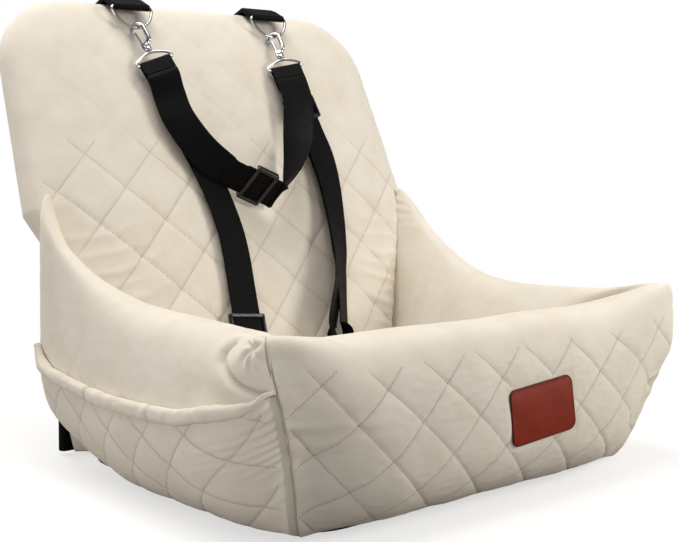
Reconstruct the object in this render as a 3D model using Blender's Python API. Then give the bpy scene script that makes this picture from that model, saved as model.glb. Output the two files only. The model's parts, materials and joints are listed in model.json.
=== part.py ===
# Dog car seat: a quilted basket with a high leaning backrest, two webbing tabs with
# D-rings on the top edge, two trigger snap hooks clipped into the rings, and the
# adjustable webbing straps that hang from the hooks.
# Units are metres. +Z is up, -Y is the front of the seat and +X is its right side as
# seen from the front. The origin is the middle of the underside.

import math

import bmesh
import bpy
from mathutils import Matrix, Vector

mm = 0.001

# Basket walls
base_half_width = 262 * mm
base_front = 222 * mm
base_rear = 192 * mm
panel_thickness = 3 * mm
panel_inset = 34 * mm
panel_corner = 30 * mm
wall_thickness = 92 * mm
wall_front_height = 178 * mm
wall_side_height = 184 * mm
wall_rear_height = 288 * mm
wall_rear_thickness = 30 * mm
wall_flare_front = 26 * mm
wall_flare_rear = 24 * mm
front_lean_out = 12 * mm
corner_thickness = 44 * mm
ear_rise = 14 * mm
ear_reach = 9 * mm
foot_inset = 22 * mm
wall_roundness = 3.2
wall_bulge_share = 0.05
side_belly = 12 * mm
front_belly = 14 * mm
belly_rear_share = 0.6
wall_sides = 20
wall_end_share = 0.88
side_fill_share = 0.22
side_turn_share = 0.2
thin_start_share = 0.45
thin_run_share = 0.5
front_fill_share = 0.2
front_turn_share = 0.18

# Quilting of the front wall
quilt_diagonal = 80 * mm
quilt_top = 150 * mm
quilt_depth = 3 * mm
quilt_tuft_share = 1.0
quilt_line_share = 0.6
quilt_slope_share = 0.25
quilt_end_share = 0.15
front_back_turns_deg = [42, 56, 68, 82, 98, 115, 140, 165, 190, 215, 240, 265, 285, 303]

# Seat inside the basket
foam_height = 58 * mm
pad_thickness = 22 * mm
pad_corner = 24 * mm
pad_profile_shares = [(0.95, 0.0), (0.99, 0.22), (1.0, 0.5), (0.985, 0.78), (0.93, 0.93), (0.80, 1.0)]
rear_cloth_thickness = 2 * mm

# Backrest
lean_deg = 24
backrest_front_at_floor = 57 * mm
backrest_length = 496 * mm
backrest_thickness = 72 * mm
backrest_bottom_inset = 110 * mm
backrest_shoulder_height = 240 * mm
backrest_shoulder_spread = 8 * mm
backrest_top_spread = 1 * mm
backrest_corner_radius = 74 * mm
backrest_roundness = 3.2
backrest_rings = 6
backrest_crest_shares = (0.6, 0.2)
backrest_foot_shares = (0, 0.35, 0.7, 1)
cover_thickness = 2.4 * mm

# Zip in the cloth behind the base
zip_length = 240 * mm
zip_width = 14 * mm
zip_slider_length = 12 * mm
zip_slider_height = 9 * mm
zip_slider_thickness = 3 * mm
zip_slider_round = 0.6 * mm
zip_pull_length = 17 * mm
zip_pull_width = 7 * mm
zip_pull_thickness = 1.4 * mm
zip_pin_radius = 0.8 * mm
zip_ear_thickness = 1.6 * mm
zip_end_margin = 8 * mm

# Side pockets
pocket_floor = 14 * mm
pocket_top_front = 134 * mm
pocket_top_low = 87 * mm
pocket_top_rear = 98 * mm
pocket_low_share = 0.54
pocket_cloth = 3 * mm
pocket_level_shares = [0, 0.1, 0.22, 0.36, 0.55, 0.78, 1]
hem_radius = 6 * mm

# Patch on the front wall
patch_width = 95 * mm
patch_height = 56 * mm
patch_thickness = 2 * mm
patch_radius = 9 * mm
patch_across = 39 * mm
patch_up = 92 * mm
patch_turn_deg = 4

# Webbing
strap_width = 38 * mm
strap_thickness = 1.6 * mm
strap_run_share = 13.053
strap_reach_share = 2.647
clip_zone_share = 0.6
tab_width = 48 * mm
tab_tail = 46 * mm
tab_drop = 17 * mm
tab_across = 102 * mm
belt_loop_height = 36 * mm
belt_loop_length = 60 * mm
belt_loop_slot = 9 * mm
belt_loop_up = 23 * mm

# D-rings
ring_wire = 1.8 * mm
ring_inner = 50 * mm
ring_depth = 27 * mm
ring_ahead = 1 * mm

# Trigger snap hooks
hook_wire = 2.2 * mm
hook_half_width = 7.6 * mm
hook_length = 30 * mm
barrel_radius = 4.3 * mm
barrel_length = 9 * mm
lug_width = 8.6 * mm
lug_height = 8 * mm
lug_thickness = 6.4 * mm
gate_wire = 1.4 * mm
gate_eye_radius = 2.4 * mm
gate_eye_width = 3 * mm
gate_pin_radius = 0.9 * mm
hook_neck_shares = [(0.45, 1.3), (0.9, 3)]
hook_nose_shares = [1.2, 2]
hook_neck_wire_share = 1.35
hook_tip_wire_share = 0.7
stem_radius = 1.8 * mm
stem_length = 5 * mm
eye_wire = 1.7 * mm
eye_inner = 41 * mm
eye_drop = 12 * mm
eye_width_shares = (0.32, 0.9, 0.97)
hook_plane_deg = 48
eye_turn_deg = 24
clip_lift_deg = 13
left_clip_tilt_deg = 8
right_clip_tilt_deg = -3
fold_length = 15 * mm

# Strap sliders
slider_bar = 4.4 * mm
slider_plate = 1.8 * mm
slider_length = 30 * mm
slider_round = 1.2 * mm
slider_side_gap = 1 * mm
layer_space = 0.7 * mm
loop_layer_space = 0.91 * mm
lap_length = 54 * mm
lap_turn_deg = 64
lap_shares = (-1.15, -0.9, -0.3, 0.3, 0.9)

# Clearances
touch_gap = 0.3 * mm
pin_gap = 0.15 * mm
stem_gap = 0.2 * mm
gate_gap = 0.35 * mm
strap_gap = 0.6 * mm
fold_gap = 0.95 * mm
seat_gap = 0.5 * mm
pocket_gap = 0.9 * mm
cut_overrun = 5 * mm
weld_distance = 0.001 * mm
clean_distance = 0.002 * mm

lean = math.radians(lean_deg)
across = Vector((1, 0, 0))
upward = Vector((0, 0, 1))
up_back = Vector((0, math.sin(lean), math.cos(lean)))
out_front = Vector((0, -math.cos(lean), math.sin(lean)))
walls_floor = panel_thickness + touch_gap
seat_level = walls_floor + foam_height
backrest_foot = seat_level + touch_gap
backrest_origin = Vector((0, backrest_front_at_floor + backrest_foot * math.tan(lean), backrest_foot))
backrest_bottom_half = base_half_width - backrest_bottom_inset
backrest_shoulder_half = base_half_width + backrest_shoulder_spread
backrest_top_half = base_half_width + backrest_top_spread
strap_run = strap_width * strap_run_share
wall_half = wall_thickness / 2
corner_half = corner_thickness / 2
front_outer_top = base_front + front_lean_out


def mix(low, high, share):
    return low + (high - low) * share


def ease(share):
    share = min(max(share, 0), 1)
    return share * share * (3 - 2 * share)


def plane_point(x, v, n):
    # x across, v up the leaning backrest, n out of its front
    return backrest_origin + across * x + up_back * v + out_front * n


def frame_matrix(origin, x_axis, y_axis, z_axis):
    rotation = Matrix((x_axis, y_axis, z_axis)).transposed()
    return Matrix.Translation(origin) @ rotation.to_4x4()


def clear_scene():
    for item in list(bpy.data.objects):
        bpy.data.objects.remove(item, do_unlink=True)


clear_scene()
parts = bpy.data.collections.new("dog_car_seat")
cutters = bpy.data.collections.new("cutters")
bpy.context.scene.collection.children.link(parts)
bpy.context.scene.collection.children.link(cutters)


def make_look(name, colour, roughness, metallic=0.0):
    look = bpy.data.materials.new(name)
    look.use_nodes = True
    shader = look.node_tree.nodes["Principled BSDF"]
    shader.inputs["Base Color"].default_value = (*colour, 1)
    shader.inputs["Roughness"].default_value = roughness
    shader.inputs["Metallic"].default_value = metallic
    look.diffuse_color = (*colour, 1)
    return look


looks = {
    "cream_cloth": ((0.76, 0.69, 0.58), 0.75, 0.0),
    "foam": ((0.82, 0.79, 0.70), 0.90, 0.0),
    "base_cloth": ((0.10, 0.10, 0.11), 0.85, 0.0),
    "webbing": ((0.015, 0.015, 0.017), 0.55, 0.0),
    "chrome": ((0.80, 0.80, 0.82), 0.12, 1.0),
    "black_plastic": ((0.02, 0.02, 0.022), 0.40, 0.0),
    "patch_leather": ((0.30, 0.065, 0.025), 0.50, 0.0),
    "zip_metal": ((0.55, 0.55, 0.56), 0.30, 1.0),
}


def look_for(name, kind):
    colour, roughness, metallic = looks[kind]
    return make_look(name + "_look", colour, roughness, metallic)


def add_object(name, mesh, kind, collection=None):
    item = bpy.data.objects.new(name, mesh)
    (collection or parts).objects.link(item)
    if collection is None:
        mesh.materials.clear()
        mesh.materials.append(look_for(name, kind))
        mesh.shade_smooth()
        mesh.set_sharp_from_angle(angle=math.radians(40))
    else:
        item.hide_render = True
        item.display_type = "WIRE"
    return item


def mesh_from(bm, name):
    bmesh.ops.recalc_face_normals(bm, faces=bm.faces)
    mesh = bpy.data.meshes.new(name)
    bm.to_mesh(mesh)
    bm.free()
    return mesh


def loft(name, sections, kind, collection=None):
    bm = bmesh.new()
    rows = [[bm.verts.new(point) for point in section] for section in sections]
    count = len(rows[0])
    for row, after in zip(rows, rows[1:]):
        for i in range(count):
            j = (i + 1) % count
            bm.faces.new((row[i], row[j], after[j], after[i]))
    bm.faces.new(rows[0][::-1])
    bm.faces.new(rows[-1])
    return add_object(name, mesh_from(bm, name), kind, collection)


def box(name, low, high, kind, collection=None, frame=None, round_by=0.0):
    bm = bmesh.new()
    bmesh.ops.create_cube(bm, size=1)
    size = Vector(high) - Vector(low)
    centre = (Vector(high) + Vector(low)) / 2
    placed = Matrix.Translation(centre) @ Matrix.Diagonal((*size, 1))
    bmesh.ops.transform(bm, matrix=placed, verts=bm.verts)
    if round_by:
        bmesh.ops.bevel(bm, geom=bm.edges[:], offset=round_by, segments=2, profile=0.5, affect="EDGES")
    if frame is not None:
        bmesh.ops.transform(bm, matrix=frame, verts=bm.verts)
    return add_object(name, mesh_from(bm, name), kind, collection)


def cylinder(name, centre, axis, radius, length, kind, collection=None, sides=16):
    bm = bmesh.new()
    bmesh.ops.create_cone(bm, cap_ends=True, segments=sides, radius1=radius, radius2=radius, depth=length)
    turn = Vector((0, 0, 1)).rotation_difference(axis).to_matrix().to_4x4()
    bmesh.ops.transform(bm, matrix=Matrix.Translation(centre) @ turn, verts=bm.verts)
    return add_object(name, mesh_from(bm, name), kind, collection)


def curve_mesh(name, curve, kind, collection=None, frame=None):
    # turns a curve into a plain mesh with its caps welded
    holder = bpy.data.objects.new(name + "_curve", curve)
    cutters.objects.link(holder)
    if frame is not None:
        holder.matrix_world = frame
    bpy.context.view_layer.update()
    seen = holder.evaluated_get(bpy.context.evaluated_depsgraph_get())
    mesh = bpy.data.meshes.new_from_object(seen)
    placed = holder.matrix_world.copy()
    bpy.data.objects.remove(holder, do_unlink=True)
    bm = bmesh.new()
    bm.from_mesh(mesh)
    bmesh.ops.remove_doubles(bm, verts=bm.verts, dist=weld_distance)
    bmesh.ops.transform(bm, matrix=placed, verts=bm.verts)
    return add_object(name, mesh_from(bm, name), kind, collection)


def tube(name, points, radius, kind, collection=None, closed=False, rounding=2, shares=None):
    curve = bpy.data.curves.new(name, "CURVE")
    curve.dimensions = "3D"
    curve.bevel_depth = radius
    curve.bevel_resolution = rounding
    curve.use_fill_caps = not closed
    spline = curve.splines.new("POLY")
    spline.points.add(len(points) - 1)
    for i, point in enumerate(points):
        spline.points[i].co = (*point, 1)
        if shares:
            spline.points[i].radius = shares[i]
    spline.use_cyclic_u = closed
    return curve_mesh(name, curve, kind, collection)


def plate(name, outlines, thickness, frame, kind, collection=None):
    # a flat outline, with any holes, pulled to its thickness along the frame's Z
    curve = bpy.data.curves.new(name, "CURVE")
    curve.dimensions = "2D"
    curve.fill_mode = "BOTH"
    curve.extrude = thickness / 2
    for outline in outlines:
        spline = curve.splines.new("POLY")
        spline.points.add(len(outline) - 1)
        for i, (x, y) in enumerate(outline):
            spline.points[i].co = (x, y, 0, 1)
        spline.use_cyclic_u = True
    return curve_mesh(name, curve, kind, collection, frame)


def arc(centre_x, centre_y, radius, start_deg, end_deg, steps):
    turns = [math.radians(mix(start_deg, end_deg, i / steps)) for i in range(steps + 1)]
    return [(centre_x + radius * math.cos(t), centre_y + radius * math.sin(t)) for t in turns]


def rounded_outline(half_x, half_y, radius, steps=5):
    x, y = half_x - radius, half_y - radius
    points = arc(x, y, radius, 0, 90, steps)
    points += arc(-x, y, radius, 90, 180, steps)
    points += arc(-x, -y, radius, 180, 270, steps)
    points += arc(x, -y, radius, 270, 360, steps)
    return points


def combine(item, other, operation):
    # applies one exact Boolean and drops the second object
    step = item.modifiers.new("combine", "BOOLEAN")
    step.operation = operation
    step.solver = "EXACT"
    step.object = other
    bpy.context.view_layer.update()
    seen = item.evaluated_get(bpy.context.evaluated_depsgraph_get())
    mesh = bpy.data.meshes.new_from_object(seen)
    item.modifiers.clear()
    bm = bmesh.new()
    bm.from_mesh(mesh)
    bmesh.ops.remove_doubles(bm, verts=bm.verts, dist=clean_distance)
    bmesh.ops.dissolve_degenerate(bm, dist=clean_distance, edges=bm.edges)
    bm.to_mesh(mesh)
    bm.free()
    mesh.shade_smooth()
    mesh.set_sharp_from_angle(angle=math.radians(40))
    item.data = mesh
    bpy.data.objects.remove(other, do_unlink=True)
    return item


def cut(item, other):
    return combine(item, other, "DIFFERENCE")


def join(item, other):
    return combine(item, other, "UNION")


# Basket walls

def outer_reach(half_base, half_top, rise, side, belly):
    # half the cushion's thickness at a height, with the outer side filled out low down
    half = mix(half_base, half_top, (rise + 1) / 2) * (1 + wall_bulge_share * (1 - rise * rise))
    return half * side + belly * max(side, 0) * (1 - rise * rise) * (1 - rise)


def pillow_loop(base, top, outward, half_base, half_top, belly=0.0):
    # one cross-section of a wall cushion, from its base line to its crest
    points = []
    for i in range(wall_sides):
        turn = math.tau * (i + 0.5) / wall_sides
        side = math.copysign(abs(math.cos(turn)) ** (2 / wall_roundness), math.cos(turn))
        rise = math.copysign(abs(math.sin(turn)) ** (2 / wall_roundness), math.sin(turn))
        reach = outer_reach(half_base, half_top, rise, side, belly)
        points.append(base.lerp(top, (rise + 1) / 2) + outward * reach)
    return points


corner_pull = corner_half / math.sqrt(2)
ear_pull = (corner_half - ear_reach) / math.sqrt(2)
corner_base_x = base_half_width - corner_pull - foot_inset
corner_base_y = base_front - corner_pull - foot_inset
corner_top_x = base_half_width + wall_flare_front - ear_pull
corner_top_y = front_outer_top - ear_pull
corner_height = wall_front_height + ear_rise

# along the wall from the corner, share of the rise to the rear crest
side_crest_shares = [(0, 0), (0.30, 0.0), (0.50, 0.0), (0.62, 0.03), (0.74, 0.17), (0.84, 0.39),
                     (0.92, 0.54), (1, 1.0)]
side_station_shares = [0.06, 0.11, 0.17, 0.24, 0.34, 0.46, 0.57, 0.66, 0.74, 0.81, 0.88, 0.94, 0.985]


def read_shares(table, share):
    for (a, low), (b, high) in zip(table, table[1:]):
        if share <= b:
            return mix(low, high, (share - a) / (b - a))
    return table[-1][1]


def side_wall_section(side, share):
    # side is -1 for the left wall and +1 for the right one
    filled = ease(share / side_fill_share)
    turn = ease(share / side_turn_share)
    outward = Vector((side * 1.0, -(1 - turn), 0)).normalized()
    half_base = mix(corner_half, wall_half, filled)
    thin = ease((share - thin_start_share) / thin_run_share)
    half_top = mix(mix(corner_half, wall_half, filled), wall_rear_thickness / 2, thin)
    flare = mix(wall_flare_front, wall_flare_rear, share)
    crest = mix(wall_side_height, wall_rear_height, read_shares(side_crest_shares, share))
    crest = mix(corner_height, crest, filled)
    base_x = mix(corner_base_x, base_half_width - wall_half, filled)
    top_x = mix(corner_top_x, base_half_width + flare - half_top, filled)
    base_y = mix(-corner_base_y, base_rear, share)
    top_y = mix(-corner_top_y, base_rear, share)
    base = Vector((side * base_x, base_y, walls_floor))
    top = Vector((side * top_x, top_y, crest))
    belly = side_belly * filled * mix(1, belly_rear_share, ease((share - thin_start_share) / thin_run_share))
    return base, top, outward, half_base, half_top, belly


def front_wall_section(share):
    near = min(share, 1 - share)
    filled = ease(near / front_fill_share)
    turn = ease(near / front_turn_share)
    side = -1 if share < 0.5 else 1
    outward = Vector((side * (1 - turn), -1, 0)).normalized()
    half = mix(corner_half, wall_half, filled)
    base_y = mix(corner_base_y, base_front - wall_half, filled)
    top_y = mix(corner_top_y, front_outer_top - wall_half, filled)
    crest = wall_front_height + ear_rise * (1 - filled)
    base = Vector((mix(-corner_base_x, corner_base_x, share), -base_y, walls_floor))
    top = Vector((mix(-corner_top_x, corner_top_x, share), -top_y, crest))
    return base, top, outward, half, half, front_belly * filled


def shrink_loop(loop, factor):
    middle = sum(loop, Vector()) / len(loop)
    return [middle + (point - middle) * factor for point in loop]


def side_wall_loops(side, grow):
    loops = []
    lift = upward * grow
    for share in [0] + side_station_shares + [1]:
        base, top, outward, half_base, half_top, belly = side_wall_section(side, share)
        loops.append(pillow_loop(base - lift, top + lift, outward, half_base + grow, half_top + grow, belly))
    return loops


def make_side_wall(name, side):
    loops = side_wall_loops(side, 0)
    apart = Vector((-side, 1, 0)).normalized() * touch_gap
    loops[0] = [point + apart for point in loops[0]]
    loops[-1] = shrink_loop(loops[-1], wall_end_share)
    return loft(name, loops, "cream_cloth")


def quilt_share(i, j):
    # how far the stitching pulls the cloth in, on a grid of quarters of a diamond
    along = (i + j) % 4
    back = (i - j) % 4
    if along == 0 and back == 0:
        return quilt_tuft_share
    if along == 0 or back == 0:
        return quilt_line_share
    if along % 2:
        return quilt_slope_share
    return 0


def front_loop(share, column):
    # the outer side has a row of points for each quarter of a diamond
    base, top, outward, half_base, half_top, belly = front_wall_section(share)
    step = quilt_diagonal / 4 / (wall_front_height - walls_floor)
    rows = int(quilt_top / (quilt_diagonal / 4))
    turns = []
    for row in range(1, rows + 1):
        rise = 2 * row * step - 1
        turns.append(math.asin(math.copysign(abs(rise) ** (wall_roundness / 2), rise)))
    turns += [math.radians(degrees) for degrees in front_back_turns_deg]
    points = []
    near = ease(min(share, 1 - share) / quilt_end_share)
    for i, turn in enumerate(turns):
        side = math.copysign(abs(math.cos(turn)) ** (2 / wall_roundness), math.cos(turn))
        rise = math.copysign(abs(math.sin(turn)) ** (2 / wall_roundness), math.sin(turn))
        point = base.lerp(top, (rise + 1) / 2) + outward * outer_reach(half_base, half_top, rise, side, belly)
        if i < rows:
            point -= outward * quilt_depth * quilt_share(column, i + 1) * near
        points.append(point)
    return points


def make_front_wall():
    # a column of points for each quarter of a diamond, and one at each end
    reach = (corner_base_x + corner_top_x) / 2
    count = int(2 * reach / (quilt_diagonal / 4))
    margin = (2 * reach - count * quilt_diagonal / 4) / 2
    shares = [(margin + i * quilt_diagonal / 4) / (2 * reach) for i in range(count + 1)]
    sections = [front_loop(share, i) for i, share in enumerate(shares)]
    for share in (0, 1):
        side = 1 if share else -1
        apart = Vector((-side, -1, 0)).normalized() * touch_gap
        end = [point + apart for point in front_loop(share, 0)]
        sections.insert(share * len(sections), end)
    return loft("front_wall", sections, "cream_cloth")


# Backrest

def backrest_outline():
    # half of the outline, from the middle of the foot up the right side to the top
    low = -backrest_thickness * math.sin(lean) - cut_overrun
    radius = backrest_corner_radius
    half = [(backrest_bottom_half * share, low) for share in backrest_foot_shares]
    for share in (0.25, 0.5, 0.75, 1):
        half.append((mix(backrest_bottom_half, backrest_shoulder_half, share),
                     mix(low, backrest_shoulder_height, share)))
    corner_x = backrest_top_half - radius
    corner_y = backrest_length - radius
    half.append((mix(backrest_shoulder_half, backrest_top_half, 0.5),
                 mix(backrest_shoulder_height, corner_y, 0.5)))
    half += arc(corner_x, corner_y, radius, 0, 90, 6)
    half += [(corner_x * share, backrest_length) for share in backrest_crest_shares]
    left = [(-x, y) for x, y in half[:0:-1]]
    return half + left


def backrest_body(name, grow, kind, collection=None):
    # rings from the middle of the front, over the edge, to the middle of the back
    outline = backrest_outline()
    centre_y = backrest_length / 2
    spread = 1 + grow / backrest_bottom_half
    half = backrest_thickness / 2
    rings = []
    for k in range(1, backrest_rings + 1):
        turn = math.pi / 2 * k / backrest_rings
        rings.append((math.sin(turn) ** (2 / backrest_roundness), math.cos(turn) ** (2 / backrest_roundness)))
    loops = []
    for reach, depth in rings + [(r, -d) for r, d in rings[-2::-1]]:
        level = -half + (half + grow) * depth
        loops.append([plane_point(x * reach * spread, centre_y + (y - centre_y) * reach * spread, level)
                      for x, y in outline])
    return loft(name, loops, kind, collection)


def foot_cutter():
    reach = backrest_length + base_half_width
    low = (-reach, -reach, -reach)
    return box("foot_cutter", low, (reach, reach, backrest_foot), None, cutters)


def make_backrest():
    cover = backrest_body("backrest_cover", 0, "cream_cloth")
    cut(cover, backrest_body("cover_hollow", -cover_thickness, None, cutters))
    cut(cover, foot_cutter())
    core = backrest_body("backrest_foam", -cover_thickness - touch_gap, "foam")
    cut(core, foot_cutter())


# Seat inside the basket

inner_half = base_half_width - wall_thickness - wall_half * wall_bulge_share - seat_gap
inner_front = base_front - wall_thickness - wall_half * wall_bulge_share - seat_gap


def make_seat():
    half_y = (base_front - panel_inset + base_rear) / 2
    outline = rounded_outline(base_half_width - panel_inset, half_y, panel_corner)
    place = Matrix.Translation((0, base_rear - half_y, panel_thickness / 2))
    plate("bottom_panel", [outline], panel_thickness, place, "base_cloth")
    cloth_front = base_rear - rear_cloth_thickness
    box("base_foam", (-inner_half, -inner_front, walls_floor),
        (inner_half, cloth_front - touch_gap, seat_level), "foam")
    pad_rear = backrest_front_at_floor + backrest_foot * math.tan(lean)
    half_x = inner_half
    half_y = (inner_front + pad_rear) / 2
    middle_y = (pad_rear - inner_front) / 2
    floor = seat_level + touch_gap
    sections = []
    for spread, rise in pad_profile_shares:
        ring = rounded_outline(half_x * spread, half_y * spread, pad_corner * spread, 4)
        level = floor + pad_thickness * rise
        sections.append([Vector((x, middle_y + y, level)) for x, y in ring])
    loft("seat_pad", sections, "cream_cloth")
    return cloth_front


def make_rear_cloth(cloth_front):
    # the cloth behind the base foam, with the zip let into it
    middle = (walls_floor + seat_level) / 2
    cloth = box("rear_cloth", (-inner_half, cloth_front, walls_floor), (inner_half, base_rear, seat_level),
                "cream_cloth")
    slot_x = zip_length / 2
    slot_z = zip_width / 2
    cut(cloth, box("zip_slot", (-slot_x, cloth_front - cut_overrun, middle - slot_z),
                   (slot_x, base_rear + cut_overrun, middle + slot_z), None, cutters))
    box("zip_tape", (-slot_x + touch_gap, cloth_front, middle - slot_z + touch_gap),
        (slot_x - touch_gap, base_rear, middle + slot_z - touch_gap), "zip_metal")
    # the slider runs along the tape
    start = -slot_x + zip_end_margin
    back = base_rear + touch_gap
    outer = back + zip_slider_thickness
    half_height = zip_slider_height / 2
    slider = box("zip_slider", (start, back, middle - half_height),
                 (start + zip_slider_length, outer, middle + half_height), "zip_metal",
                 round_by=zip_slider_round)
    # its pull turns on a pin between two ears
    barrel = zip_pin_radius + pin_gap + zip_pull_thickness / 2
    pin = Vector((start + zip_slider_length / 2, outer + barrel + touch_gap, middle + half_height / 2))
    near = zip_pull_width / 2 + touch_gap
    far = near + zip_ear_thickness
    for side in (-1, 1):
        xs = sorted((pin.x + side * near, pin.x + side * far))
        low = (xs[0], outer - zip_pin_radius, pin.z - barrel)
        join(slider, box("zip_ear", low, (xs[1], pin.y + barrel, pin.z + barrel), None, cutters))
    cut(slider, cylinder("zip_pin_hole", pin, across, zip_pin_radius + pin_gap / 2, 2 * far + cut_overrun,
                         None, cutters, 12))
    cylinder("zip_pin", pin, across, zip_pin_radius - pin_gap / 2, 2 * far, "zip_metal", sides=12)
    pull = cylinder("zip_pull", pin, across, barrel, zip_pull_width, "zip_metal", sides=16)
    plate_half = zip_pull_thickness / 2
    low = (pin.x - zip_pull_width / 2, pin.y - plate_half, pin.z - zip_pull_length)
    high = (pin.x + zip_pull_width / 2, pin.y + plate_half, pin.z - zip_pin_radius)
    join(pull, box("pull_plate", low, high, None, cutters, round_by=plate_half / 2))
    cut(pull, cylinder("pull_bore", pin, across, zip_pin_radius + pin_gap / 2, zip_pull_width + cut_overrun,
                       None, cutters, 12))


# Pockets on the side walls

def side_face(side, share, level, off):
    # a point at a height, off the outer face of a side wall
    base, top, outward, half_base, half_top, belly = side_wall_section(side, share)
    rise = 2 * (level - base.z) / (top.z - base.z) - 1
    depth = (1 - abs(rise) ** wall_roundness) ** (1 / wall_roundness)
    reach = outer_reach(half_base, half_top, rise, depth, belly)
    return base.lerp(top, (rise + 1) / 2) + outward * (reach + off)


def pocket_top(share):
    # the mouth dips towards the back and rises to both ends
    if share < pocket_low_share:
        return mix(pocket_top_front, pocket_top_low, ease(share / pocket_low_share))
    return mix(pocket_top_low, pocket_top_rear, ease((share - pocket_low_share) / (1 - pocket_low_share)))


def make_pocket(name, side):
    sections = []
    hem = []
    for share in side_station_shares[:-1]:
        top = pocket_top(share)
        levels = [mix(pocket_floor, top, step) for step in pocket_level_shares]
        inner = [side_face(side, share, level, -pocket_cloth) for level in levels]
        outer = [side_face(side, share, level, seat_gap + pocket_cloth) for level in levels]
        sections.append(inner + outer[::-1])
        hem.append(side_face(side, share, top + hem_radius, seat_gap + hem_radius) + upward * touch_gap)
    pieces = [loft(name + "_pocket", sections, "cream_cloth"),
              tube(name + "_pocket_hem", hem, hem_radius, "cream_cloth")]
    for piece in pieces:
        cut(piece, loft("wall_space", side_wall_loops(side, pocket_gap), None, cutters))


def front_face(x, level):
    share = (x + corner_base_x) / (2 * corner_base_x)
    base, top, outward, half_base, half_top, belly = front_wall_section(share)
    rise = 2 * (level - base.z) / (top.z - base.z) - 1
    depth = (1 - abs(rise) ** wall_roundness) ** (1 / wall_roundness)
    return base.lerp(top, (rise + 1) / 2) + outward * outer_reach(half_base, half_top, rise, depth, belly)


def make_patch():
    low = front_face(patch_across, patch_up - patch_height / 2)
    high = front_face(patch_across, patch_up + patch_height / 2)
    middle = front_face(patch_across, patch_up)
    rise = high - low
    rise -= across * rise.dot(across)
    rise.normalize()
    out = across.cross(rise)
    middle.x = patch_across
    # sewn on a little askew
    turn = Matrix.Rotation(math.radians(patch_turn_deg), 3, out)
    place = frame_matrix(middle + out * (seat_gap + patch_thickness / 2), turn @ across, turn @ rise, out)
    outline = rounded_outline(patch_width / 2, patch_height / 2, patch_radius, 5)
    plate("leather_patch", [outline], patch_thickness, place, "patch_leather")


# Loops at the back corners for the car's belt

def make_belt_loop(name, side):
    half_y = belt_loop_slot / 2
    centre = (side * (base_half_width - wall_half), base_rear + seat_gap + strap_thickness + half_y)
    half_x = belt_loop_length / 2 - strap_thickness
    inner = rounded_outline(half_x, half_y, half_y - touch_gap, 4)
    outer = rounded_outline(half_x + strap_thickness, half_y + strap_thickness,
                            half_y + strap_thickness - touch_gap, 4)
    place = Matrix.Translation((*centre, belt_loop_up))
    plate(name + "_belt_loop", [outer, inner], belt_loop_height, place, "webbing")


# Tabs and rings

loop_outer = ring_wire + pin_gap + strap_thickness
tab_level = backrest_length - tab_drop


def make_tab(name, middle):
    # two layers run from the ring up over the top edge to the back
    layers = 2 * strap_thickness
    crest = tab_drop + touch_gap
    over = backrest_thickness / 4 + ring_ahead
    outline = arc(0, 0, loop_outer, 60, -120, 12)
    outline += [(-over, crest), (-tab_tail - ring_ahead, crest), (-tab_tail - ring_ahead, crest + layers)]
    outline += [(-over + layers, crest + layers)]
    hole = arc(0, 0, ring_wire + pin_gap, 0, 360, 12)[:-1]
    place = frame_matrix(plane_point(middle, tab_level, ring_ahead), out_front, up_back, -across)
    plate(name + "_tab", [outline, hole], tab_width, place, "webbing")


def make_ring(name, middle):
    half = ring_inner / 2 + ring_wire
    points = [(-half, 0), (0, 0), (half, 0)]
    points += [(x, y) for x, y in [(half * math.cos(math.radians(t)), -ring_depth * math.sin(math.radians(t)))
                                   for t in range(12, 180, 12)]]
    path = [plane_point(middle + x, tab_level + y, ring_ahead) for x, y in points]
    tube(name + "_d_ring", path, ring_wire, "chrome", closed=True)


# Snap hooks, swivel eyes and the webbing folds round their bars

def clip_frame(middle, tilt_deg):
    # origin at the bottom of the ring, Z down the clip
    tilt = math.radians(tilt_deg)
    lift = math.radians(clip_lift_deg)
    hang = (across * math.sin(tilt) - up_back * math.cos(tilt)) * math.cos(lift) + out_front * math.sin(lift)
    hang.normalize()
    side = (across - hang * across.dot(hang)).normalized()
    front = hang.cross(side)
    if front.dot(out_front) < 0:
        front = -front
    origin = plane_point(middle, tab_level - ring_depth, ring_ahead)
    return origin, side, front, hang


def turned(side, front, degrees):
    turn = math.radians(degrees)
    return side * math.cos(turn) + front * math.sin(turn)


barrel_start = hook_length - ring_wire - hook_wire - touch_gap
barrel_end = barrel_start + barrel_length
crook_top = -(ring_wire + hook_wire + touch_gap)
crook_centre = crook_top + hook_half_width
gate_pivot_side = -(gate_eye_radius + gate_gap)
gate_pivot_down = barrel_start + gate_eye_radius / 2
bar_down = barrel_end + eye_wire * 2 + eye_drop


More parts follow.
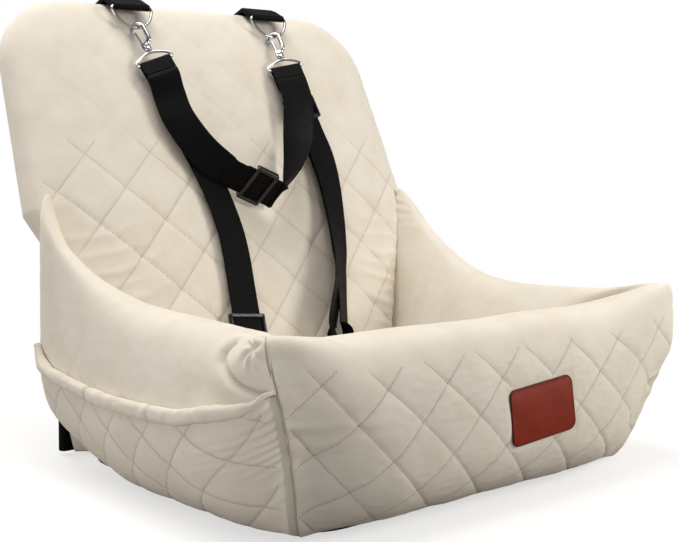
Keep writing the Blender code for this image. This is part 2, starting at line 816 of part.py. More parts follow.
def make_hook(name, frame):
    origin, side, front, hang = frame
    lateral = turned(side, front, hook_plane_deg)
    normal = hang.cross(lateral)

    def place(s, d, m=0.0):
        return origin + lateral * s + hang * d + normal * m

    # one wire: up from the barrel, over the crook and down to the nose
    path = [(0, barrel_end), (0, barrel_start)]
    path += [(hook_half_width * x, barrel_start - hook_wire * d) for x, d in hook_neck_shares]
    path.append((hook_half_width, crook_centre))
    over = arc(0, 0, hook_half_width, 0, 180, 8)
    path += [(x, crook_centre - y) for x, y in over[1:]]
    path += [(-hook_half_width, crook_centre + hook_wire * d) for d in hook_nose_shares]
    wide = barrel_radius / hook_wire
    shares = [wide, wide, hook_neck_wire_share] + [1] * (len(path) - 4) + [hook_tip_wire_share]
    hook = tube(name + "_hook", [place(s, d) for s, d in path], hook_wire, "chrome", shares=shares)
    lug_frame = frame_matrix(origin, lateral, hang, lateral.cross(hang))
    half = lug_thickness / 2
    lug_low = (gate_pivot_side - gate_eye_radius, gate_pivot_down - lug_height / 2, -half)
    lug_high = (lug_low[0] + lug_width, gate_pivot_down + lug_height / 2, half)
    join(hook, box("hook_lug", lug_low, lug_high, None, cutters, lug_frame, gate_gap))
    slot = gate_eye_width / 2 + touch_gap
    reach = gate_eye_radius + gate_gap
    cut(hook, box("gate_slot", (lug_low[0] - cut_overrun, gate_pivot_down - lug_height, -slot),
                  (gate_pivot_side + reach, gate_pivot_down + reach, slot), None, cutters, lug_frame))
    pivot = place(gate_pivot_side, gate_pivot_down)
    cut(hook, cylinder("gate_pin_hole", pivot, normal, gate_pin_radius + pin_gap / 2,
                       lug_thickness + cut_overrun, None, cutters, 12))
    bore_middle = place(0, barrel_end - stem_length / 2 + cut_overrun / 2)
    cut(hook, cylinder("stem_bore", bore_middle, hang, stem_radius + stem_gap, stem_length + cut_overrun,
                       None, cutters, 16))
    cylinder(name + "_gate_pin", pivot, normal, gate_pin_radius - pin_gap / 2, lug_thickness, "chrome",
             sides=12)
    # the gate closes on the inner side of the nose
    tip = place(-hook_half_width + hook_wire + gate_wire + gate_gap, crook_centre + hook_wire)
    gate = tube(name + "_gate", [pivot, pivot.lerp(tip, 0.5), tip], gate_wire, "chrome")
    join(gate, cylinder("gate_eye", pivot, normal, gate_eye_radius, gate_eye_width, None, cutters, 16))
    cut(gate, cylinder("gate_bore", pivot, normal, gate_pin_radius + pin_gap / 2,
                       gate_eye_width + cut_overrun, None, cutters, 12))
    return pivot, normal, lateral


def make_eye(name, frame):
    origin, side, front, hang = frame
    bar = turned(side, front, eye_turn_deg)
    half = eye_inner / 2 + eye_wire
    top = barrel_end + eye_wire + stem_gap
    fold_outer = eye_wire + strap_gap + strap_thickness
    shoulder = bar_down - fold_outer - eye_wire - strap_gap
    throat, wing, corner = eye_width_shares
    loop = [(0, top), (half * throat, top + eye_wire / 2), (half * wing, shoulder),
            (half, bar_down - fold_outer), (half, bar_down - eye_wire / 2), (half * corner, bar_down),
            (0, bar_down)]
    loop += [(-x, d) for x, d in loop[1:6][::-1]]
    eye = tube(name + "_eye", [origin + bar * x + hang * d for x, d in loop], eye_wire, "chrome", closed=True)
    stem_top = barrel_end - stem_length + stem_gap
    stem_middle = origin + hang * (stem_top + top) / 2
    join(eye, cylinder("eye_stem", stem_middle, hang, stem_radius, top - stem_top, None, cutters, 16))
    return bar


shear_rows = 6
loop_shear_rows = 8
cross_steps = 5
tether_steps = 3
lap_turn_rows = 9


def strip(name, centres, widths, leave=None, rows=shear_rows):
    sections = []
    count = len(centres)
    for i in range(count):
        ahead = centres[min(i + 1, count - 1)] - centres[max(i - 1, 0)]
        ahead = leave if leave and i == 0 else ahead.normalized()
        wide = (widths[i] - ahead * widths[i].dot(ahead)).normalized()
        if leave:
            # the webbing shears as it leaves the fold
            wide = widths[0].lerp(wide, ease(i / rows)).normalized()
        thick = ahead.cross(wide) * strap_thickness / 2
        half = wide * strap_width / 2
        middle = centres[i]
        sections.append([middle - half - thick, middle + half - thick,
                         middle + half + thick, middle - half + thick])
    return loft(name, sections, "webbing")


def make_fold(name, frame, bar):
    origin, side, front, hang = frame
    face = bar.cross(hang)
    if face.dot(out_front) < 0:
        face = -face
    radius = eye_wire + strap_gap + strap_thickness / 2
    middle = origin + hang * bar_down
    path = [(radius, fold_length), (radius, fold_length / 2)]
    path += [(x, -y) for x, y in arc(0, 0, radius, 0, 180, 8)]
    path += [(-radius, fold_length / 2), (-radius, fold_length)]
    centres = [middle + face * x + hang * d for x, d in path]
    strip(name + "_strap_fold", centres, [bar] * len(centres))
    leave = fold_length + fold_gap
    return middle + face * radius + hang * leave, middle - face * radius + hang * leave


# Straps

route_lead_share = 0.5
loop_lead_share = 0.3


def smooth(points, steps):
    # a Catmull-Rom curve through the points
    path = []
    last = len(points) - 1
    for i in range(last):
        before = points[max(i - 1, 0)]
        start, end = points[i], points[i + 1]
        after = points[min(i + 2, last)]
        for step in range(steps):
            t = step / steps
            path.append(0.5 * (2 * start + (end - before) * t
                               + (2 * before - 5 * start + 4 * end - after) * t * t
                               + (3 * start - before - 3 * end + after) * t ** 3))
    path.append(points[-1])
    return path


def route(rows, steps, first, hang, bar, lead_share=route_lead_share):
    # rows hold shares across, up and out from the backrest, and the strap's turn in degrees
    points = []
    turns = []
    for x_share, v_share, n_share, turn in rows:
        points.append(share_point((x_share, v_share, n_share)))
        turns.append(Vector((turn, 0, 0)))
    points = [first, first + hang * fold_length * lead_share] + points
    flat = out_front.cross(hang).normalized()
    start = math.degrees(math.atan2(bar.dot(out_front), bar.dot(flat)))
    turns = [Vector((start, 0, 0))] * 2 + turns
    centres = smooth(points, steps)
    angles = [turn.x for turn in smooth(turns, steps)]
    widths = []
    count = len(centres)
    for i, angle in enumerate(angles):
        ahead = (centres[min(i + 1, count - 1)] - centres[max(i - 1, 0)]).normalized()
        flat = out_front.cross(ahead).normalized()
        rise = ahead.cross(flat).normalized()
        if rise.dot(out_front) < 0:
            rise = -rise
        widths.append(flat * math.cos(math.radians(angle)) + rise * math.sin(math.radians(angle)))
    widths[0] = bar if widths[0].dot(bar) > 0 else -bar
    return centres, widths


# Strap routes: shares across, up and out from the backrest, and turn in degrees
cross_left_shares = [
    (-0.334, 0.730, 0.434, 26),
    (-0.319, 0.665, 0.487, 27),
    (-0.251, 0.585, 0.579, 36),
    (-0.161, 0.530, 0.645, 52),
]
cross_right_shares = [
    (0.353, 0.712, 0.605, 26),
    (0.311, 0.641, 0.630, 42),
    (0.258, 0.573, 0.655, 68),
    (0.191, 0.510, 0.671, 92),
]
left_tether_shares = [
    (-0.310, 0.722, 0.224, 6),
    (-0.266, 0.638, 0.171, 0),
    (-0.210, 0.541, 0.158, -2),
    (-0.180, 0.468, 0.158, -2),
    (-0.163, 0.395, 0.158, -1),
    (-0.165, 0.333, 0.158, 0),
    (-0.178, 0.262, 0.158, 0),
    (-0.191, 0.192, 0.158, 0),
    (-0.204, 0.121, 0.158, 0),
    (-0.218, 0.065, 0.079, 0),
]
# down the front layer, round the hanging loop and back up behind it
right_loop_shares = [
    (0.398, 0.750, 0.250, 0),
    (0.416, 0.696, 0.250, 0),
    (0.434, 0.641, 0.250, 0),
    (0.456, 0.575, 0.250, 0),
    (0.459, 0.504, 0.250, -8),
    (0.442, 0.433, 0.279, -16),
    (0.412, 0.363, 0.355, -23),
    (0.374, 0.302, 0.461, -30),
    (0.318, 0.238, 0.566, -36),
    (0.247, 0.177, 0.632, -38),
    (0.206, 0.135, 0.645, -38),
    (0.217, 0.111, 0.579, -38),
    (0.262, 0.105, 0.474, -38),
    (0.299, 0.133, 0.382, -38),
    (0.337, 0.198, 0.347, -37),
    (0.369, 0.262, 0.342, -33),
    (0.391, 0.319, 0.321, -28),
    (0.417, 0.369, 0.274, -23),
    (0.442, 0.433, 0.211, -16),
    (0.459, 0.504, 0.182, -8),
    (0.456, 0.575, 0.182, 0),
    (0.434, 0.641, 0.182, 0),
    (0.416, 0.696, 0.182, 0),
    (0.406, 0.724, 0.182, 0),
]
lap_middle_shares = (-0.016, 0.488, 0.684)
lap_end_shares = (0.074, 0.464, 0.684)
left_slider_shares = ((-0.178, 0.262, 0.158), (-0.204, 0.121, 0.158), 0.72)
right_slider_shares = ((0.398, 0.750, 0.216), (0.434, 0.641, 0.216), 0.41)


def strap_level(share):
    # near the clips a strap keeps its drop from them, and below it follows the backrest's length
    if share >= clip_zone_share:
        return backrest_length - (1 - share) * strap_run
    return share / clip_zone_share * (backrest_length - (1 - clip_zone_share) * strap_run)


def share_point(shares):
    x, v, n = shares
    return plane_point(x * tab_across * strap_reach_share, strap_level(v), n * strap_width)


def make_slider(name, centre, along, wide, half_gap):
    # outer bars in front of the webbing and a middle bar behind it
    normal = along.cross(wide)
    if normal.dot(out_front) < 0:
        wide = -wide
        normal = -normal
    place = frame_matrix(centre, along, wide, normal)
    half_length = slider_length / 2
    half_open = strap_width / 2 + slider_side_gap
    half_wide = half_open + slider_bar
    deep = half_gap + slider_plate
    slider = box(name, (-half_length, -half_wide, -deep), (half_length, half_wide, deep), "black_plastic",
                 frame=place, round_by=slider_round)
    past = half_length + cut_overrun
    inner = half_length - slider_bar
    cuts = [((-past, -half_open, -half_gap), (past, half_open, half_gap)),
            ((-inner, -half_open, 0), (inner, half_open, deep + cut_overrun)),
            ((-past, -half_open, -deep - cut_overrun), (-slider_bar / 2, half_open, 0)),
            ((slider_bar / 2, -half_open, -deep - cut_overrun), (past, half_open, 0))]
    for low, high in cuts:
        cut(slider, box("slider_window", low, high, None, cutters, place))


def slider_on(name, shares, layers):
    start, end, place = share_point(shares[0]), share_point(shares[1]), shares[2]
    along = (end - start).normalized()
    wide = out_front.cross(along).normalized()
    half_gap = (layers * strap_thickness + (layers - 1) * loop_layer_space) / 2 + touch_gap
    make_slider(name, start.lerp(end, place), along, wide, half_gap)
    print(name, "axis", [round(x, 5) for x in along], "reach", round((end - start).length, 4))


def lap_strap(name, rows, first, frame, bar, direction):
    # a cross strap from its fold to the lap that both share inside the slider
    middle = share_point(lap_middle_shares)
    along = (share_point(lap_end_shares) - middle).normalized()
    flat = out_front.cross(along).normalized()
    turn = math.radians(lap_turn_deg)
    wide = flat * math.cos(turn) + out_front * math.sin(turn)
    normal = along.cross(wide)
    if normal.dot(out_front) < 0:
        normal = -normal
    shift = normal * direction * (strap_thickness + layer_space) / 2
    reach = lap_length / 2
    ends = [middle + along * reach * x * direction + shift for x in lap_shares]
    centres, widths = route(rows, cross_steps, first, frame[3], bar)
    last = smooth([centres[-cross_steps - 1]] + [centres[-1]] + ends, cross_steps)
    lap_widths = []
    for i in range(len(last)):
        share = ease(i / lap_turn_rows)
        target = wide * direction if widths[-1].dot(wide * direction) > 0 else -wide * direction
        lap_widths.append(widths[-1].lerp(target, share))
    keep = len(centres) - 1
    strip(name, centres[:keep] + last[cross_steps:], widths[:keep] + lap_widths[cross_steps:], frame[3])
    return middle, along, wide


def make_panel_straps():
    clips = {}
    for name, side, tilt in (("left", -1, left_clip_tilt_deg), ("right", 1, right_clip_tilt_deg)):
        middle = side * tab_across
        make_tab(name, middle)
        make_ring(name, middle)
        frame = clip_frame(middle, tilt)
        pivot, normal, lateral = make_hook(name, frame)
        bar = make_eye(name, frame)
        clips[name] = (frame, bar, make_fold(name, frame, bar))
        print(name, "ring axis", [round(x, 5) for x in plane_point(middle, tab_level, ring_ahead)])
        print(name, "hook origin", [round(x, 5) for x in frame[0]], "hang", [round(x, 5) for x in frame[3]])
        print(name, "gate pivot", [round(x, 5) for x in pivot], "normal", [round(x, 5) for x in normal],
              "lateral", [round(x, 5) for x in lateral])
    frame, bar, (front_leg, back_leg) = clips["left"]
    lap_strap("cross_strap_left", cross_left_shares, front_leg, frame, bar, 1)
    strip("left_tether", *route(left_tether_shares, tether_steps, back_leg, frame[3], bar), frame[3])
    frame, bar, (front_leg, back_leg) = clips["right"]
    middle, along, wide = lap_strap("cross_strap_right", cross_right_shares, front_leg, frame, bar, -1)
    half_gap = strap_thickness + layer_space / 2 + touch_gap
    make_slider("cross_slider", middle, along, wide, half_gap)
    print("cross_slider axis", [round(x, 5) for x in along], "centre", [round(x, 5) for x in middle])
    centres, turned_widths = route(right_loop_shares, tether_steps, back_leg, frame[3], bar, loop_lead_share)
    angles = [Vector((row[3], 0, 0)) for row in right_loop_shares]
    level = smooth([angles[0]] * 2 + angles, tether_steps)
    widths = [across * math.cos(math.radians(a.x)) + out_front * math.sin(math.radians(a.x)) for a in level]
    for i in range(2 * tether_steps):
        widths[i] = turned_widths[i]
    strip("right_loop", centres, widths, frame[3], loop_shear_rows)
    slider_on("left_slider", left_slider_shares, 1)
    slider_on("right_slider", right_slider_shares, 2)


make_backrest()
for wall_name, wall_side in (("left", -1), ("right", 1)):
    wall = make_side_wall(wall_name + "_wall", wall_side)
    cut(wall, backrest_body("backrest_space", touch_gap, None, cutters))
    make_pocket(wall_name, wall_side)
    make_belt_loop(wall_name, wall_side)
make_front_wall()
make_patch()
make_rear_cloth(make_seat())
make_panel_straps()
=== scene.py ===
import json
import math
import bpy
import bmesh
import numpy as np
from mathutils import Matrix, Vector, noise
from mathutils.bvhtree import BVHTree

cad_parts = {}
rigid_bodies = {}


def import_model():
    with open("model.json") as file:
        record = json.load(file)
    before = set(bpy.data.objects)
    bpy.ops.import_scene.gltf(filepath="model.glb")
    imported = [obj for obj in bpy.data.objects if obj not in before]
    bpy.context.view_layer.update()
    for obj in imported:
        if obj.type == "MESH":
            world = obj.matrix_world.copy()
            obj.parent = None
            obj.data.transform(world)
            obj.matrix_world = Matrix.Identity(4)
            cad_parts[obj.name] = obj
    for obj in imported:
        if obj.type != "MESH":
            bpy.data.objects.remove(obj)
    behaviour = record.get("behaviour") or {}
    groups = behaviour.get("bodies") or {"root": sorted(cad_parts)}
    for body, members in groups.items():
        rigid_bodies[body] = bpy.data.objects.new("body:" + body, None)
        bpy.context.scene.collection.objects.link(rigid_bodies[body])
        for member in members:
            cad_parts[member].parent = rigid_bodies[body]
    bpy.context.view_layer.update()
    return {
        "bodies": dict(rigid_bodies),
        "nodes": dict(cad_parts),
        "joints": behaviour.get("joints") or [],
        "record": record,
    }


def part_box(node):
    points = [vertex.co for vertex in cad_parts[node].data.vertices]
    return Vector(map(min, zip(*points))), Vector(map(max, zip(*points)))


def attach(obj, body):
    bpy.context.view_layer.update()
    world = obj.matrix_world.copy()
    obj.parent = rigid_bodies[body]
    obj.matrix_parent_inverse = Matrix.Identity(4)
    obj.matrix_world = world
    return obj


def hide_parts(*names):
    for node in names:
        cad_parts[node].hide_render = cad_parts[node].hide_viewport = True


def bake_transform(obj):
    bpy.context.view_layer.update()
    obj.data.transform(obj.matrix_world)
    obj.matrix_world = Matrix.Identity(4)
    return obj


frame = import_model()
mm = 0.001

# where the photographer stood: front left of the seat, a little above its rim
viewPoint = {"place": (-0.9285, -1.0307, 0.3728), "yaw": 0.72543, "pitch": 0.11842, "roll": 0.01642,
             "focal": 1277.51, "imageWidth": 679}


def makeCamera():
    yaw, pitch = viewPoint["yaw"], viewPoint["pitch"]
    right = Vector((math.cos(yaw), -math.sin(yaw), 0))
    ahead = Vector((math.sin(yaw) * math.cos(pitch), math.cos(yaw) * math.cos(pitch), -math.sin(pitch)))
    turn = Matrix((right, right.cross(ahead), -ahead)).transposed().to_4x4()
    data = bpy.data.cameras.new("studioCamera")
    data.sensor_fit = "HORIZONTAL"
    data.lens = viewPoint["focal"] * data.sensor_width / viewPoint["imageWidth"]
    data.clip_start, data.clip_end = 0.05, 50
    camera = bpy.data.objects.new("studioCamera", data)
    bpy.context.scene.collection.objects.link(camera)
    camera.matrix_world = Matrix.Translation(viewPoint["place"]) @ turn @ Matrix.Rotation(viewPoint["roll"], 4, "Z")
    bpy.context.scene.camera = camera


makeCamera()


def rgb(hexText, alpha=1.0):
    # sRGB hex to linear
    value = [int(hexText[i:i + 2], 16) / 255 for i in (1, 3, 5)]
    return [c / 12.92 if c <= 0.04045 else ((c + 0.055) / 1.055) ** 2.4 for c in value] + [alpha]


def addNode(tree, kind, links=None, values=None, **settings):
    # links and values are keyed by input name or number
    node = tree.nodes.new(kind)
    for key, value in settings.items():
        setattr(node, key, value)
    for key, value in (values or {}).items():
        node.inputs[key].default_value = value
    for key, socket in (links or {}).items():
        tree.links.new(socket, node.inputs[key])
    return node


def newMaterial(name, colour, roughness, metallic=0.0):
    material = bpy.data.materials.new(name)
    material.use_nodes = True
    tree = material.node_tree
    shader = tree.nodes["Principled BSDF"]
    shader.inputs["Base Color"].default_value = rgb(colour)
    shader.inputs["Roughness"].default_value = roughness
    shader.inputs["Metallic"].default_value = metallic
    return material, tree, shader


def rampBetween(tree, factor, stops):
    ramp = addNode(tree, "ShaderNodeValToRGB", {0: factor})
    ends = ramp.color_ramp.elements
    while len(ends) < len(stops):
        ends.new(0.5)
    for element, (place, colour) in zip(ends, stops):
        element.position = place
        element.color = rgb(colour) if isinstance(colour, str) else (colour, colour, colour, 1)
    return ramp.outputs["Color"]


def bumpOf(tree, height, strength, distance, below=None):
    links = {"Height": height}
    if below:
        links["Normal"] = below
    return addNode(tree, "ShaderNodeBump", links, {"Strength": strength, "Distance": distance}).outputs["Normal"]


def suedeCloth():
    # microfibre suede, napped: matt, a soft bloom at the edges, faint mottling where the nap lies over
    material, tree, shader = newMaterial("microfibreSuede", "#ece3d6", 0.88)
    place = addNode(tree, "ShaderNodeTexCoord").outputs["Object"]
    mottle = addNode(tree, "ShaderNodeTexNoise", {"Vector": place}, {"Scale": 26, "Detail": 5, "Roughness": 0.6})
    colour = rampBetween(tree, mottle.outputs["Fac"], [(0.3, "#e8decf"), (0.5, "#ece4d6"), (0.7, "#f0e8dc")])
    # painted shade: the crease layer darkens the colour towards #8d7a68 in seams, sewn channels, folds and under the
    # hems
    creaseShade = addNode(tree, "ShaderNodeVertexColor", layer_name="crease")
    deep = addNode(tree, "ShaderNodeMix", {0: creaseShade.outputs["Color"], 6: colour}, {7: rgb("#8d7a68")},
                   data_type="RGBA")
    tree.links.new(deep.outputs[2], shader.inputs["Base Color"])
    # the nap is about 0.4 mm, drawn at 1 mm so that it shows
    nap = addNode(tree, "ShaderNodeTexNoise", {"Vector": place}, {"Scale": 1000, "Detail": 3, "Roughness": 0.7})
    brushed = addNode(tree, "ShaderNodeTexNoise", {"Vector": place}, {"Scale": 170, "Detail": 4, "Roughness": 0.6})
    fine = bumpOf(tree, nap.outputs["Fac"], 0.12, 0.3 * mm)
    tree.links.new(bumpOf(tree, brushed.outputs["Fac"], 0.10, 1.0 * mm, fine), shader.inputs["Normal"])
    shader.inputs["Sheen Weight"].default_value = 0.18
    shader.inputs["Sheen Roughness"].default_value = 0.5
    shader.inputs["Sheen Tint"].default_value = rgb("#fff6e6")
    shader.inputs["Specular IOR Level"].default_value = 0.2
    return material


def sewingThread():
    # spun polyester thread, dyed to the cloth and sunk in its nap; its colour is set darker than the cloth's as painted
    # shade of the needle holes, so it reads as a row of small dots
    material, tree, shader = newMaterial("sewingThread", "#b5a895", 0.75)
    place = addNode(tree, "ShaderNodeTexCoord").outputs["Object"]
    twist = addNode(tree, "ShaderNodeTexNoise", {"Vector": place}, {"Scale": 900, "Detail": 2})
    tree.links.new(rampBetween(tree, twist.outputs["Fac"], [(0.35, "#a89b87"), (0.65, "#c3b7a5")]),
                   shader.inputs["Base Color"])
    return material


def webbingCloth():
    # polypropylene webbing, woven with ribs across: near black, a dull shine along each rib
    material, tree, shader = newMaterial("wovenWebbing", "#060607", 0.6)
    place = addNode(tree, "ShaderNodeUVMap", uv_map="weave").outputs["UV"]
    # ribs of 1.6 mm, and yarns of 1 mm along the strap
    ribs = addNode(tree, "ShaderNodeTexWave", {"Vector": place}, {"Scale": 98, "Distortion": 0.6, "Detail": 1},
                   bands_direction="X")
    yarns = addNode(tree, "ShaderNodeTexWave", {"Vector": place}, {"Scale": 157, "Distortion": 0.4, "Detail": 1},
                    bands_direction="Y")
    dust = addNode(tree, "ShaderNodeTexNoise", {"Vector": place}, {"Scale": 240, "Detail": 4})
    both = addNode(tree, "ShaderNodeMath", {0: ribs.outputs["Fac"], 1: yarns.outputs["Fac"]}, operation="MULTIPLY")
    tree.links.new(rampBetween(tree, both.outputs[0], [(0.1, "#030304"), (0.6, "#080809"), (1.0, "#0e0e0f")]),
                   shader.inputs["Base Color"])
    tree.links.new(rampBetween(tree, dust.outputs["Fac"], [(0.3, 0.52), (0.7, 0.68)]), shader.inputs["Roughness"])
    tree.links.new(bumpOf(tree, both.outputs[0], 0.5, 0.35 * mm), shader.inputs["Normal"])
    shader.inputs["Specular IOR Level"].default_value = 0.09
    return material


def solidWebbing():
    # the same webbing on the tabs, whose weave runs along their own length
    material, tree, shader = newMaterial("wovenTabWebbing", "#060607", 0.6)
    place = addNode(tree, "ShaderNodeTexCoord").outputs["Object"]
    ribs = addNode(tree, "ShaderNodeTexWave", {"Vector": place}, {"Scale": 98, "Distortion": 0.6, "Detail": 1},
                   bands_direction="X")
    tree.links.new(rampBetween(tree, ribs.outputs["Fac"], [(0.1, "#040405"), (1.0, "#0c0c0d")]),
                   shader.inputs["Base Color"])
    tree.links.new(bumpOf(tree, ribs.outputs["Fac"], 0.4, 0.3 * mm), shader.inputs["Normal"])
    shader.inputs["Specular IOR Level"].default_value = 0.09
    return material


def chromedZinc():
    # die-cast zinc, polished and chrome plated: bright, with a few soft handling marks
    material, tree, shader = newMaterial("chromedZinc", "#bcbcc0", 0.13, 1.0)
    place = addNode(tree, "ShaderNodeTexCoord").outputs["Object"]
    rubbed = addNode(tree, "ShaderNodeTexNoise", {"Vector": place}, {"Scale": 260, "Detail": 4, "Roughness": 0.65})
    tree.links.new(rampBetween(tree, rubbed.outputs["Fac"], [(0.35, 0.06), (0.7, 0.18)]), shader.inputs["Roughness"])
    tree.links.new(rampBetween(tree, rubbed.outputs["Fac"], [(0.3, "#a9a9ad"), (0.7, "#c9c9cc")]),
                   shader.inputs["Base Color"])
    return material


def mouldedAcetal():
    # injection moulded acetal: black, satin, with a fine spark-eroded grain
    material, tree, shader = newMaterial("mouldedAcetal", "#09090a", 0.34)
    place = addNode(tree, "ShaderNodeTexCoord").outputs["Object"]
    grain = addNode(tree, "ShaderNodeTexNoise", {"Vector": place}, {"Scale": 1500, "Detail": 2})
    scuffs = addNode(tree, "ShaderNodeTexNoise", {"Vector": place}, {"Scale": 120, "Detail": 5, "Roughness": 0.7})
    tree.links.new(rampBetween(tree, scuffs.outputs["Fac"], [(0.35, 0.26), (0.7, 0.42)]), shader.inputs["Roughness"])
    tree.links.new(rampBetween(tree, scuffs.outputs["Fac"], [(0.3, "#070708"), (0.7, "#0d0d0e")]),
                   shader.inputs["Base Color"])
    tree.links.new(bumpOf(tree, grain.outputs["Fac"], 0.1, 0.1 * mm), shader.inputs["Normal"])
    return material


def patchLeather():
    # smooth finished cowhide, chestnut, pressed: a darker burnished rim, fine pores
    material, tree, shader = newMaterial("finishedLeather", "#84260f", 0.42)
    place = addNode(tree, "ShaderNodeTexCoord").outputs["Object"]
    cloud = addNode(tree, "ShaderNodeTexNoise", {"Vector": place}, {"Scale": 60, "Detail": 4, "Roughness": 0.6})
    colour = rampBetween(tree, cloud.outputs["Fac"], [(0.3, "#7c210c"), (0.7, "#912c12")])
    rim = addNode(tree, "ShaderNodeVertexColor", layer_name="crease")
    edged = addNode(tree, "ShaderNodeMix", {0: rim.outputs["Color"], 6: colour}, {7: rgb("#4a1109")},
                    data_type="RGBA")
    tree.links.new(edged.outputs[2], shader.inputs["Base Color"])
    pores = addNode(tree, "ShaderNodeTexVoronoi", {"Vector": place}, {"Scale": 700})
    tree.links.new(bumpOf(tree, pores.outputs["Distance"], 0.18, 0.15 * mm), shader.inputs["Normal"])
    tree.links.new(rampBetween(tree, cloud.outputs["Fac"], [(0.3, 0.38), (0.7, 0.5)]), shader.inputs["Roughness"])
    shader.inputs["Specular IOR Level"].default_value = 0.16
    return material


def dottedOxford():
    # polyester oxford cloth with moulded rubber dots, 2 mm across and 5 mm apart, so that the seat doesn't slip
    material, tree, shader = newMaterial("dottedOxford", "#2a2a2d", 0.8)
    place = addNode(tree, "ShaderNodeTexCoord").outputs["Object"]
    dots = addNode(tree, "ShaderNodeTexVoronoi", {"Vector": place}, {"Scale": 200, "Randomness": 0.0})
    spots = rampBetween(tree, dots.outputs["Distance"], [(0.2, 1.0), (0.28, 0.0)])
    weave = addNode(tree, "ShaderNodeTexChecker", {"Vector": place}, {"Scale": 1400, "Color1": rgb("#2d2d31"),
                                                                      "Color2": rgb("#232326")})
    colour = addNode(tree, "ShaderNodeMix", {0: spots, 6: weave.outputs["Color"]}, {7: rgb("#131315")},
                     data_type="RGBA")
    tree.links.new(colour.outputs[2], shader.inputs["Base Color"])
    tree.links.new(bumpOf(tree, spots, 0.6, 0.5 * mm), shader.inputs["Normal"])
    tree.links.new(rampBetween(tree, spots, [(0.0, 0.85), (1.0, 0.5)]), shader.inputs["Roughness"])
    return material


def openFoam():
    # open-cell polyurethane foam, cut: cream, dull, with small cells
    material, tree, shader = newMaterial("openFoam", "#e4dcc6", 0.95)
    place = addNode(tree, "ShaderNodeTexCoord").outputs["Object"]
    cells = addNode(tree, "ShaderNodeTexVoronoi", {"Vector": place}, {"Scale": 600})
    tree.links.new(rampBetween(tree, cells.outputs["Distance"], [(0.1, "#cfc5ab"), (0.6, "#e8e1cd")]),
                   shader.inputs["Base Color"])
    tree.links.new(bumpOf(tree, cells.outputs["Distance"], 0.4, 0.5 * mm), shader.inputs["Normal"])
    return material


def nickelledZip():
    # nickel-plated zinc, tumbled: grey, less bright than chrome
    material, tree, shader = newMaterial("nickelledZinc", "#b5b3ae", 0.28, 1.0)
    place = addNode(tree, "ShaderNodeTexCoord").outputs["Object"]
    rubbed = addNode(tree, "ShaderNodeTexNoise", {"Vector": place}, {"Scale": 500, "Detail": 4})
    tree.links.new(rampBetween(tree, rubbed.outputs["Fac"], [(0.3, 0.2), (0.7, 0.4)]), shader.inputs["Roughness"])
    return material


def tapeCloth():
    # woven polyester zip tape, dyed to the cover
    material, tree, shader = newMaterial("zipTapeCloth", "#e2d8c4", 0.8)
    place = addNode(tree, "ShaderNodeTexCoord").outputs["Object"]
    rows = addNode(tree, "ShaderNodeTexWave", {"Vector": place}, {"Scale": 260, "Distortion": 0.5},
                   bands_direction="DIAGONAL")
    tree.links.new(rampBetween(tree, rows.outputs["Fac"], [(0.1, "#cfc4ae"), (0.9, "#e8dfcd")]),
                   shader.inputs["Base Color"])
    tree.links.new(bumpOf(tree, rows.outputs["Fac"], 0.3, 0.2 * mm), shader.inputs["Normal"])
    return material


suede = suedeCloth()
thread = sewingThread()
webbing = webbingCloth()
tabWebbing = solidWebbing()
chrome = chromedZinc()
acetal = mouldedAcetal()
leather = patchLeather()
oxford = dottedOxford()
foam = openFoam()
zipMetal = nickelledZip()
zipTape = tapeCloth()
print("materials made")


def mix(low, high, share):
    return low + (high - low) * share


def ease(share):
    share = np.clip(share, 0, 1)
    return share * share * (3 - 2 * share)


def readTable(table, share):
    return np.interp(share, [a for a, b in table], [b for a, b in table])


def joinUp(name, mesh, material):
    mesh.materials.append(material)
    mesh.shade_smooth()
    piece = bpy.data.objects.new(name, mesh)
    bpy.context.scene.collection.objects.link(piece)
    return piece


def gridObject(name, rows, material, capEnds=True):
    # rows[i][j] are points: i along the piece and j round it
    count, around = len(rows), len(rows[0])
    faces = []
    for i in range(count - 1):
        for j in range(around):
            k = (j + 1) % around
            faces.append((i * around + j, i * around + k, (i + 1) * around + k, (i + 1) * around + j))
    mesh = bpy.data.meshes.new(name)
    mesh.from_pydata([tuple(p) for row in rows for p in row], [], faces)
    bm = bmesh.new()
    bm.from_mesh(mesh)
    bm.verts.ensure_lookup_table()
    if capEnds:
        for ring in [[bm.verts[start + j] for j in range(around)] for start in (0, (count - 1) * around)]:
            middle = bm.verts.new(sum((v.co for v in ring), Vector()) / around)
            inner = [bm.verts.new(v.co.lerp(middle.co, 0.5)) for v in ring]
            for j in range(around):
                k = (j + 1) % around
                bm.faces.new((ring[j], ring[k], inner[k], inner[j]))
                bm.faces.new((inner[j], inner[k], middle))
    bmesh.ops.recalc_face_normals(bm, faces=bm.faces)
    bm.to_mesh(mesh)
    bm.free()
    return joinUp(name, mesh, material)


def noiseAt(points, scale, seed=0.0):
    shape = points.shape[:-1]
    shift = Vector((seed, seed * 2, -seed))
    found = [noise.noise(Vector(p) * scale + shift) for p in points.reshape(-1, 3)]
    return np.array(found).reshape(shape)


def normalsOf(grid):
    # outward normals of a closed grid of rows
    along = np.gradient(grid, axis=0)
    across = np.roll(grid, -1, axis=1) - np.roll(grid, 1, axis=1)
    normal = np.cross(across, along)
    normal /= np.maximum(np.linalg.norm(normal, axis=2, keepdims=True), 1e-9)
    middle = grid.mean(axis=1, keepdims=True)
    return normal * np.sign((normal * (grid - middle)).sum())


def creaseColour(piece, values):
    # painted shade: 0 on open cloth, up to 1 in stitched channels, seams, folds and under hems, where the cloth's
    # material darkens its colour; the leather reads it as its burnished rim
    layer = piece.data.color_attributes.new("crease", "FLOAT_COLOR", "POINT")
    full = np.zeros((len(piece.data.vertices), 4), np.float32)
    full[:len(values)] = np.clip(np.array(values, np.float32), 0, 1)[:, None]
    full[:, 3] = 1
    layer.data.foreach_set("color", full.ravel())


